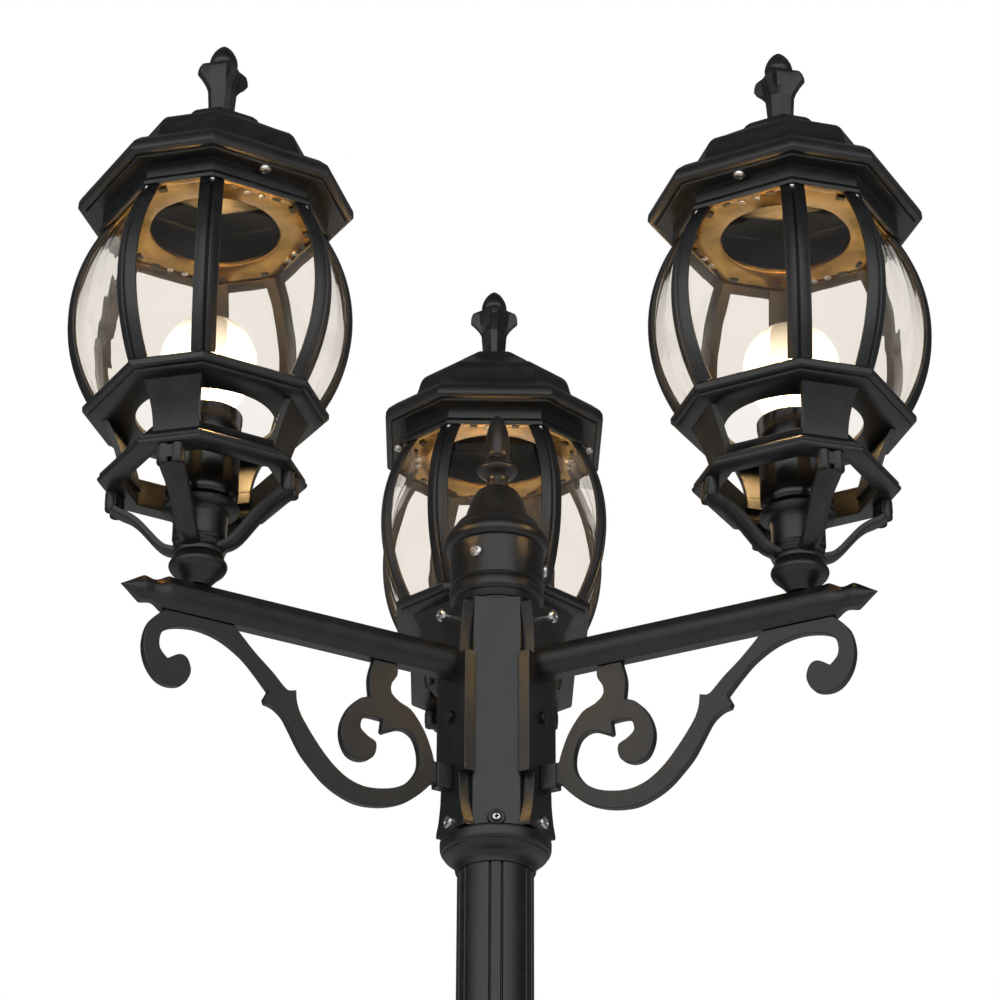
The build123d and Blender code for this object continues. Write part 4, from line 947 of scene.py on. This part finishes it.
def bulb_glass_mesh():
    """Pear-shaped envelope of thin glass."""
    side = curve_through([(12.8, 31), (13.6, 35), (15.6, 41), (19.4, 49), (24.2, 57.4), (28.2, 66),
                          (30.0, 76)], 5)
    ball = [polar(30.0, 9 * k)[:2] for k in range(1, 11)]
    outer = side + [(r, 76 + z) for r, z in ball]
    inner = [(max(r - 0.7, 0.0), min(z, 105.3)) for r, z in reversed(outer)]
    return moved(lathe(outer + inner, "join", 64), shift(z=BULB_SEAT))


FILAMENT_HEIGHT = 66.0  # the filaments' middle, above the bulb's foot


def filament_mesh():
    """Four slanting filaments."""
    strip = lathe([(0.5, -17), (0.9, -16.5), (0.9, 16.5), (0.5, 17)], sides=10)
    slanting = shift(7.2, 0, FILAMENT_HEIGHT) @ spin(10, "X") @ spin(-6, "Y")
    strips = [moved(strip, spin(quarter + 45) @ slanting) for quarter in QUARTERS]
    return moved(joined(*strips), shift(z=BULB_SEAT))


# ------------------------------------------------------------------ stage
def floor_material():
    """Matt pale floor: near the post it keeps the shadows, and far off it pales to white."""
    material, tree = new_material("Matt pale floor")
    place = add_node(tree, "ShaderNodeTexCoord").outputs["Object"]
    mottle = add_node(tree, "ShaderNodeTexNoise", {"Scale": 4.0, "Detail": 4.0}, {"Vector": place})
    tone = add_node(tree, "ShaderNodeValToRGB", links={"Fac": mottle.outputs["Fac"]})
    tone.color_ramp.elements[0].color = linear("#E2E2E0")
    tone.color_ramp.elements[1].color = linear("#ECECEA")
    surface = add_node(tree, "ShaderNodeBsdfPrincipled", {"Roughness": 0.8},
                       {"Base Color": tone.outputs["Color"]})
    # The white of the floor itself is only for the eye and for glass, so it lights nothing.
    ray = add_node(tree, "ShaderNodeLightPath")
    seen = add_node(tree, "ShaderNodeMath", operation="MAXIMUM",
                    links={0: ray.outputs["Is Camera Ray"], 1: ray.outputs["Is Transmission Ray"]})
    distance = add_node(tree, "ShaderNodeVectorMath", operation="LENGTH", links={0: place})
    paling = add_node(tree, "ShaderNodeMapRange",
                      {"From Min": 1.2, "From Max": 14.0, "To Min": 0.3, "To Max": 1.0},
                      {"Value": distance.outputs["Value"]}, interpolation_type="SMOOTHSTEP")
    share = add_node(tree, "ShaderNodeMath", operation="MULTIPLY",
                     links={0: seen.outputs["Value"], 1: paling.outputs["Result"]})
    white = add_node(tree, "ShaderNodeEmission", {"Color": (1, 1, 1, 1), "Strength": 1.0})
    mixed = add_node(tree, "ShaderNodeMixShader", links={
        0: share.outputs["Value"], 1: surface.outputs["BSDF"], 2: white.outputs["Emission"]})
    add_node(tree, "ShaderNodeOutputMaterial", links={"Surface": mixed.outputs["Shader"]})
    return material


def add_floor(scene):
    """Floor under the post, wide enough to meet the white background."""
    half = 40.0
    data = bpy.data.meshes.new("floor")
    data.from_pydata([(-half, -half, 0), (half, -half, 0), (half, half, 0), (-half, half, 0)], [],
                     [(0, 1, 2, 3)])
    data.materials.append(floor_material())
    floor = bpy.data.objects.new("floor", data)
    scene.collection.objects.link(floor)


def add_surroundings(scene):
    """World: white to the eye and through glass, plain soft light, and what glossy faces mirror."""
    world = bpy.data.worlds.new("studio")
    scene.world = world
    world.use_nodes = True
    tree = world.node_tree
    tree.nodes.clear()
    ray = add_node(tree, "ShaderNodeLightPath")
    seen = add_node(tree, "ShaderNodeMath", operation="MAXIMUM",
                    links={0: ray.outputs["Is Camera Ray"], 1: ray.outputs["Is Transmission Ray"]})
    look = add_node(tree, "ShaderNodeTexCoord").outputs["Generated"]
    direction = add_node(tree, "ShaderNodeSeparateXYZ", links={"Vector": look})
    # Glossy faces mirror the broad white panel in front, a little to the left, and a dim room.
    facing = add_node(tree, "ShaderNodeVectorMath", {1: polar(1, 262)}, operation="DOT_PRODUCT",
                      links={0: look})
    panel = add_node(tree, "ShaderNodeMapRange", {"From Min": 0.09, "From Max": 0.85},
                     {"Value": facing.outputs["Value"]}, interpolation_type="SMOOTHSTEP")
    top = add_node(tree, "ShaderNodeMapRange",
                   {"From Min": 0.52, "From Max": 0.80, "To Min": 1.65, "To Max": 0.0},
                   {"Value": direction.outputs["Z"]}, interpolation_type="SMOOTHSTEP")
    mirrored = add_node(tree, "ShaderNodeMath", {2: 0.12}, operation="MULTIPLY_ADD",
                        links={0: panel.outputs["Result"], 1: top.outputs["Result"]})
    lit = add_node(tree, "ShaderNodeMix", {"A": 0.45}, data_type="FLOAT",
                   links={"Factor": ray.outputs["Is Glossy Ray"], "B": mirrored.outputs["Value"]})
    level = add_node(tree, "ShaderNodeMix", {"B": 1.0}, data_type="FLOAT",
                     links={"Factor": seen.outputs["Value"], "A": lit.outputs["Result"]})
    background = add_node(tree, "ShaderNodeBackground", {"Color": (1, 1, 1, 1)},
                          {"Strength": level.outputs["Result"]})
    add_node(tree, "ShaderNodeOutputWorld", links={"Surface": background.outputs["Background"]})


def add_softboxes(scene):
    """Three soft area lamps aimed at the lanterns; glossy faces mirror the world instead of them."""
    target = Vector((0, 0, 1.85))
    for name, spot, size, power in (
        ("softbox_left", (-3.2, -2.6, 1.6), 1.6, 70.0),
        ("softbox_right", (3.2, -2.6, 1.6), 1.6, 70.0),
        ("softbox_back", (0.0, 3.4, 2.4), 2.0, 30.0),
    ):
        lamp = bpy.data.lights.new(name, "AREA")
        lamp.energy = power
        lamp.size = size
        light = bpy.data.objects.new(name, lamp)
        light.location = spot
        light.rotation_euler = (target - Vector(spot)).to_track_quat("-Z", "Y").to_euler()
        light.visible_glossy = False
        light.visible_transmission = False
        scene.collection.objects.link(light)


def add_camera(scene):
    """Camera below the lanterns, looking up at them, as fitted to the photograph."""
    camera_data = bpy.data.cameras.new("camera")
    camera_data.sensor_width = 36.0
    camera_data.lens = 113.4526
    camera = bpy.data.objects.new("camera", camera_data)
    right = Vector((0.99985313, -0.01672724, 0.00373129))
    up = Vector((-0.01080447, -0.44621179, 0.89486217))
    forward = Vector((0.01330362, 0.89477105, 0.44632698))
    turn = Matrix((right, up, -forward)).transposed().to_4x4()
    camera.matrix_world = Matrix.Translation((-0.025397, -1.827095, 1.010987)) @ turn
    scene.collection.objects.link(camera)
    scene.camera = camera


# ------------------------------------------------------------------ operators
class LAMPPOST_OT_post(bpy.types.Operator):
    """Add the base, the two columns, their coupling and the collar"""

    bl_idname = "lamppost.post"
    bl_label = "Post"

    def execute(self, context):
        add_piece("base", post_base_mesh(), POST_PLACE, "coat", ["post_base"])
        for name in ("lower_column", "upper_column"):
            tube = column_mesh(low(name), high(name) - low(name))
            add_piece(f"{name}_tube", tube, POST_PLACE, "coat", [name], edge=0.3)
        middle = (low("column_coupling") + high("column_coupling")) / 2
        add_piece("coupling", coupling_mesh(middle), POST_PLACE, "coat", ["column_coupling"])
        add_piece("collar", collar_mesh(), POST_PLACE, "coat", ["hub_collar"], edge=0.4)
        return {"FINISHED"}


class LAMPPOST_OT_hub(bpy.types.Operator):
    """Add the six-sided hub, its cap and the cap's finial"""

    bl_idname = "lamppost.hub"
    bl_label = "Hub"

    def execute(self, context):
        add_piece("hub", hub_mesh(), POST_PLACE, "coat", ["hub_casting"])
        add_piece("cap", cap_mesh(), POST_PLACE, "coat", ["hub_cap"], edge=0.3)
        add_piece("cap_finial", cap_finial_mesh(), POST_PLACE, "coat", ["hub_finial"], edge=0.3)
        return {"FINISHED"}


class LAMPPOST_OT_arms(bpy.types.Operator):
    """Add the three arms with their plates and scrolled brackets"""

    bl_idname = "lamppost.arms"
    bl_label = "Arms"

    def execute(self, context):
        for side, direction in DIRECTIONS.items():
            place = POST_PLACE @ spin(direction) @ shift(z=ARM_TOP)
            add_piece(f"arm_{side}", arm_mesh(), place, "coat", [f"arm_bar_{side}"], edge=0.4)
            add_piece(f"plate_{side}", plate_mesh(), place, "coat", [f"arm_plate_{side}"])
            add_piece(f"bracket_{side}", bracket_mesh(), place, "coat", [f"scroll_bracket_{side}"],
                      edge=0.9)
        return {"FINISHED"}


class LAMPPOST_OT_screws(bpy.types.Operator):
    """Add the cross head screws of the hub, plates, legs and eaves"""

    bl_idname = "lamppost.screws"
    bl_label = "Screws"

    def execute(self, context):
        low_screws, middle_screws, top_screws = HUB_FOOT + 5.7, HUB_FOOT + 75.2, HUB_FOOT + 142.9
        hub = [radial(screw(4.2, 2.6, 8, 2), 30, CAP_FOOT + 30.2, 243.5 + 120 * k) for k in range(3)]
        arm, rings = [], []
        ring = lathe([(3.1, 0), (5.4, 0), (5.6, 0.9), (5.0, 2.2), (3.1, 2.6)], "join", 32)
        for direction in DIRECTIONS.values():
            hub.append(radial(screw(3.0, 3.4, 8, 2), HUB_FACE, low_screws, direction + 180))
            rings.append(radial(ring, HUB_FACE, low_screws, direction + 180))
        add_piece("hub_screw_heads", joined(*hub), POST_PLACE, "plated", ["hub_screws"], edge=0)
        boss = lathe([(0, 0), (4.0, 0), (4.1, 0.8), (3.9, 2.6), (3.0, 3.0), (0, 3.0)], sides=32)
        for direction in DIRECTIONS.values():
            arm.append(radial(screw(4.2, 2.6, 6, 2), PLATE_FACE, low_screws, direction))
            arm.append(radial(screw(4.2, 2.6, 14, 2), PLATE_FACE + 7, top_screws, direction))
            rings.append(radial(boss, PLATE_FACE, middle_screws, direction))
        add_piece("arm_screw_heads", joined(*arm), POST_PLACE, "plated", ["arm_screws"], edge=0)
        add_piece("screw_rings", joined(*rings), POST_PLACE, "coat", edge=0.3)
        legs = []
        down = spin(180, "X")
        for side in DIRECTIONS:
            place = lantern_place(side)
            for quarter in QUARTERS:
                for y in LEG_SCREW_SIDES:
                    local = spin(45 + quarter) @ shift(LEG_SCREW_REACH, y, BASKET_SEAT - 11) @ down
                    legs.append(moved(screw(3.0, 1.6, 12, 1.5), POST_PLACE.inverted() @ place @ local))
            add_piece(f"rivets_{side}", joined(rivets_mesh(), reflector_screws_mesh()), place, "plated",
                      edge=0)
            eaves = [moved(screw(4.2, 2.6, 9, 2), shift(0, y, CAGE_SEAT + FLANGE_UNDERSIDE) @ down)
                     for y in EAVE_SCREW_SIDES]
            add_piece(f"eave_screw_heads_{side}", joined(*eaves), place, "plated",
                      [f"eave_screws_{side}"], edge=0)
        # The leg screws are plated; their dark finish paints the shade inside the tubes.
        add_piece("leg_screw_heads", joined(*legs), POST_PLACE, "shade_darkened_plating", ["leg_screws"], edge=0)
        return {"FINISHED"}


class LAMPPOST_OT_frames(bpy.types.Operator):
    """Add each lantern's neck, legs, basket and rib cage"""

    bl_idname = "lamppost.frames"
    bl_label = "Lantern frames"

    def execute(self, context):
        for side in DIRECTIONS:
            for name, mesh, node, edge in (
                ("neck", neck_mesh(), "lantern_neck", 0.3),
                ("legs", leg_frame_mesh(), "leg_frame", 0.4),
                ("basket_frame", basket_mesh(), "basket", 0.6),
                ("cage", cage_mesh(), "rib_cage", 0.3),
            ):
                add_piece(f"{name}_{side}", mesh, lantern_place(side), "coat", [f"{node}_{side}"],
                          edge=edge)
        return {"FINISHED"}


class LAMPPOST_OT_roofs(bpy.types.Operator):
    """Add each lantern's roof and finial, which lift off together"""

    bl_idname = "lamppost.roofs"
    bl_label = "Roofs"

    def execute(self, context):
        for side in DIRECTIONS:
            place, body = lantern_place(side), f"roof_{side}_body"
            add_piece(f"roof_shell_{side}", roof_mesh(), place, "coat", [f"roof_{side}"], body, 0.8)
            add_piece(f"finial_{side}", roof_finial_mesh(), place, "coat", [f"roof_finial_{side}"],
                      body, 0.6)
        return {"FINISHED"}


class LAMPPOST_OT_globes(bpy.types.Operator):
    """Add each lantern's glass globe and reflector"""

    bl_idname = "lamppost.globes"
    bl_label = "Globes"

    def execute(self, context):
        for side in DIRECTIONS:
            place = lantern_place(side)
            add_piece(f"glass_{side}", globe_mesh(), place, "globe", [f"globe_{side}"], edge=1.6)
            add_piece(f"reflector_plate_{side}", reflector_mesh(), place, "reflector",
                      [f"reflector_{side}"], edge=0.2)
            add_piece(f"reflector_tabs_{side}", reflector_tabs_mesh(), place, "coat", edge=0)
        return {"FINISHED"}


class LAMPPOST_OT_bulbs(bpy.types.Operator):
    """Add each lantern's holder, bulb, filaments and light"""

    bl_idname = "lamppost.bulbs"
    bl_label = "Bulbs"

    def execute(self, context):
        scene = context.scene
        for side in DIRECTIONS:
            place, body = lantern_place(side), f"bulb_{side}_body"
            for name, mesh, surface, nodes, rides_on, edge in (
                ("holder", holder_mesh(), "holder", [f"lampholder_{side}"], POST, 0.5),
                ("holder_core", core_mesh(), "ceramic", [f"socket_core_{side}"], POST, 0.3),
                ("bulb_cap", bulb_cap_mesh(), "brass", [f"bulb_base_{side}"], body, 0),
                ("bulb_envelope", bulb_glass_mesh(), "bulb", [f"bulb_glass_{side}"], body, 0),
                ("filaments", filament_mesh(), "filament", (), body, 0),
            ):
                add_piece(f"{name}_{side}", mesh, place, surface, nodes, rides_on, edge)
            lamp = bpy.data.lights.new(f"bulb_light_{side}", "POINT")
            lamp.energy = scene.lamp_post_sizes.lamp_power
            lamp.color = linear(scene.lamp_post_colours.glow)[:3]
            lamp.shadow_soft_size = 12 * MM
            light = bpy.data.objects.new(f"bulb_light_{side}", lamp)
            light.location = place @ Vector((0, 0, BULB_SEAT + FILAMENT_HEIGHT))
            scene.collection.objects.link(light)
        return {"FINISHED"}


class LAMPPOST_OT_spigot(bpy.types.Operator):
    """Give the sleeve inside the column its bare metal"""

    bl_idname = "lamppost.spigot"
    bl_label = "Column sleeve"

    def execute(self, context):
        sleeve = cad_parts["column_spigot"]
        sleeve.data.materials.clear()
        sleeve.data.materials.append(finish("aluminium"))
        return {"FINISHED"}


class LAMPPOST_OT_stage(bpy.types.Operator):
    """Add the floor, the soft lights, the white surroundings and the camera"""

    bl_idname = "lamppost.stage"
    bl_label = "Stage"

    def execute(self, context):
        add_floor(context.scene)
        add_surroundings(context.scene)
        add_softboxes(context.scene)
        add_camera(context.scene)
        context.scene.view_settings.view_transform = "Standard"
        return {"FINISHED"}


class LAMPPOST_PT_panel(bpy.types.Panel):
    """Buttons and settings of the lamp post"""

    bl_idname = "LAMPPOST_PT_panel"
    bl_label = "Lamp Post"
    bl_space_type = "VIEW_3D"
    bl_region_type = "UI"
    bl_category = "Lamp Post"

    def draw(self, context):
        for group in (context.scene.lamp_post_sizes, context.scene.lamp_post_colours):
            for name in group.__annotations__:
                self.layout.prop(group, name)
        for operator in OPERATORS:
            self.layout.operator(operator.bl_idname)


OPERATORS = (
    LAMPPOST_OT_post,
    LAMPPOST_OT_hub,
    LAMPPOST_OT_arms,
    LAMPPOST_OT_frames,
    LAMPPOST_OT_globes,
    LAMPPOST_OT_bulbs,
    LAMPPOST_OT_roofs,
    LAMPPOST_OT_screws,
    LAMPPOST_OT_spigot,
    LAMPPOST_OT_stage,
)
CLASSES = (LampPostSizes, LampPostColours, *OPERATORS, LAMPPOST_PT_panel)


def register():
    for cls in CLASSES:
        bpy.utils.register_class(cls)
    bpy.types.Scene.lamp_post_sizes = PointerProperty(type=LampPostSizes)
    bpy.types.Scene.lamp_post_colours = PointerProperty(type=LampPostColours)


def unregister():
    del bpy.types.Scene.lamp_post_sizes
    del bpy.types.Scene.lamp_post_colours
    for cls in reversed(CLASSES):
        bpy.utils.unregister_class(cls)


def main():
    register()
    bpy.ops.lamppost.post()
    bpy.ops.lamppost.hub()
    bpy.ops.lamppost.arms()
    bpy.ops.lamppost.frames()
    bpy.ops.lamppost.globes()
    bpy.ops.lamppost.bulbs()
    bpy.ops.lamppost.roofs()
    bpy.ops.lamppost.screws()
    bpy.ops.lamppost.spigot()
    bpy.ops.lamppost.stage()


if __name__ == "__main__":
    main()
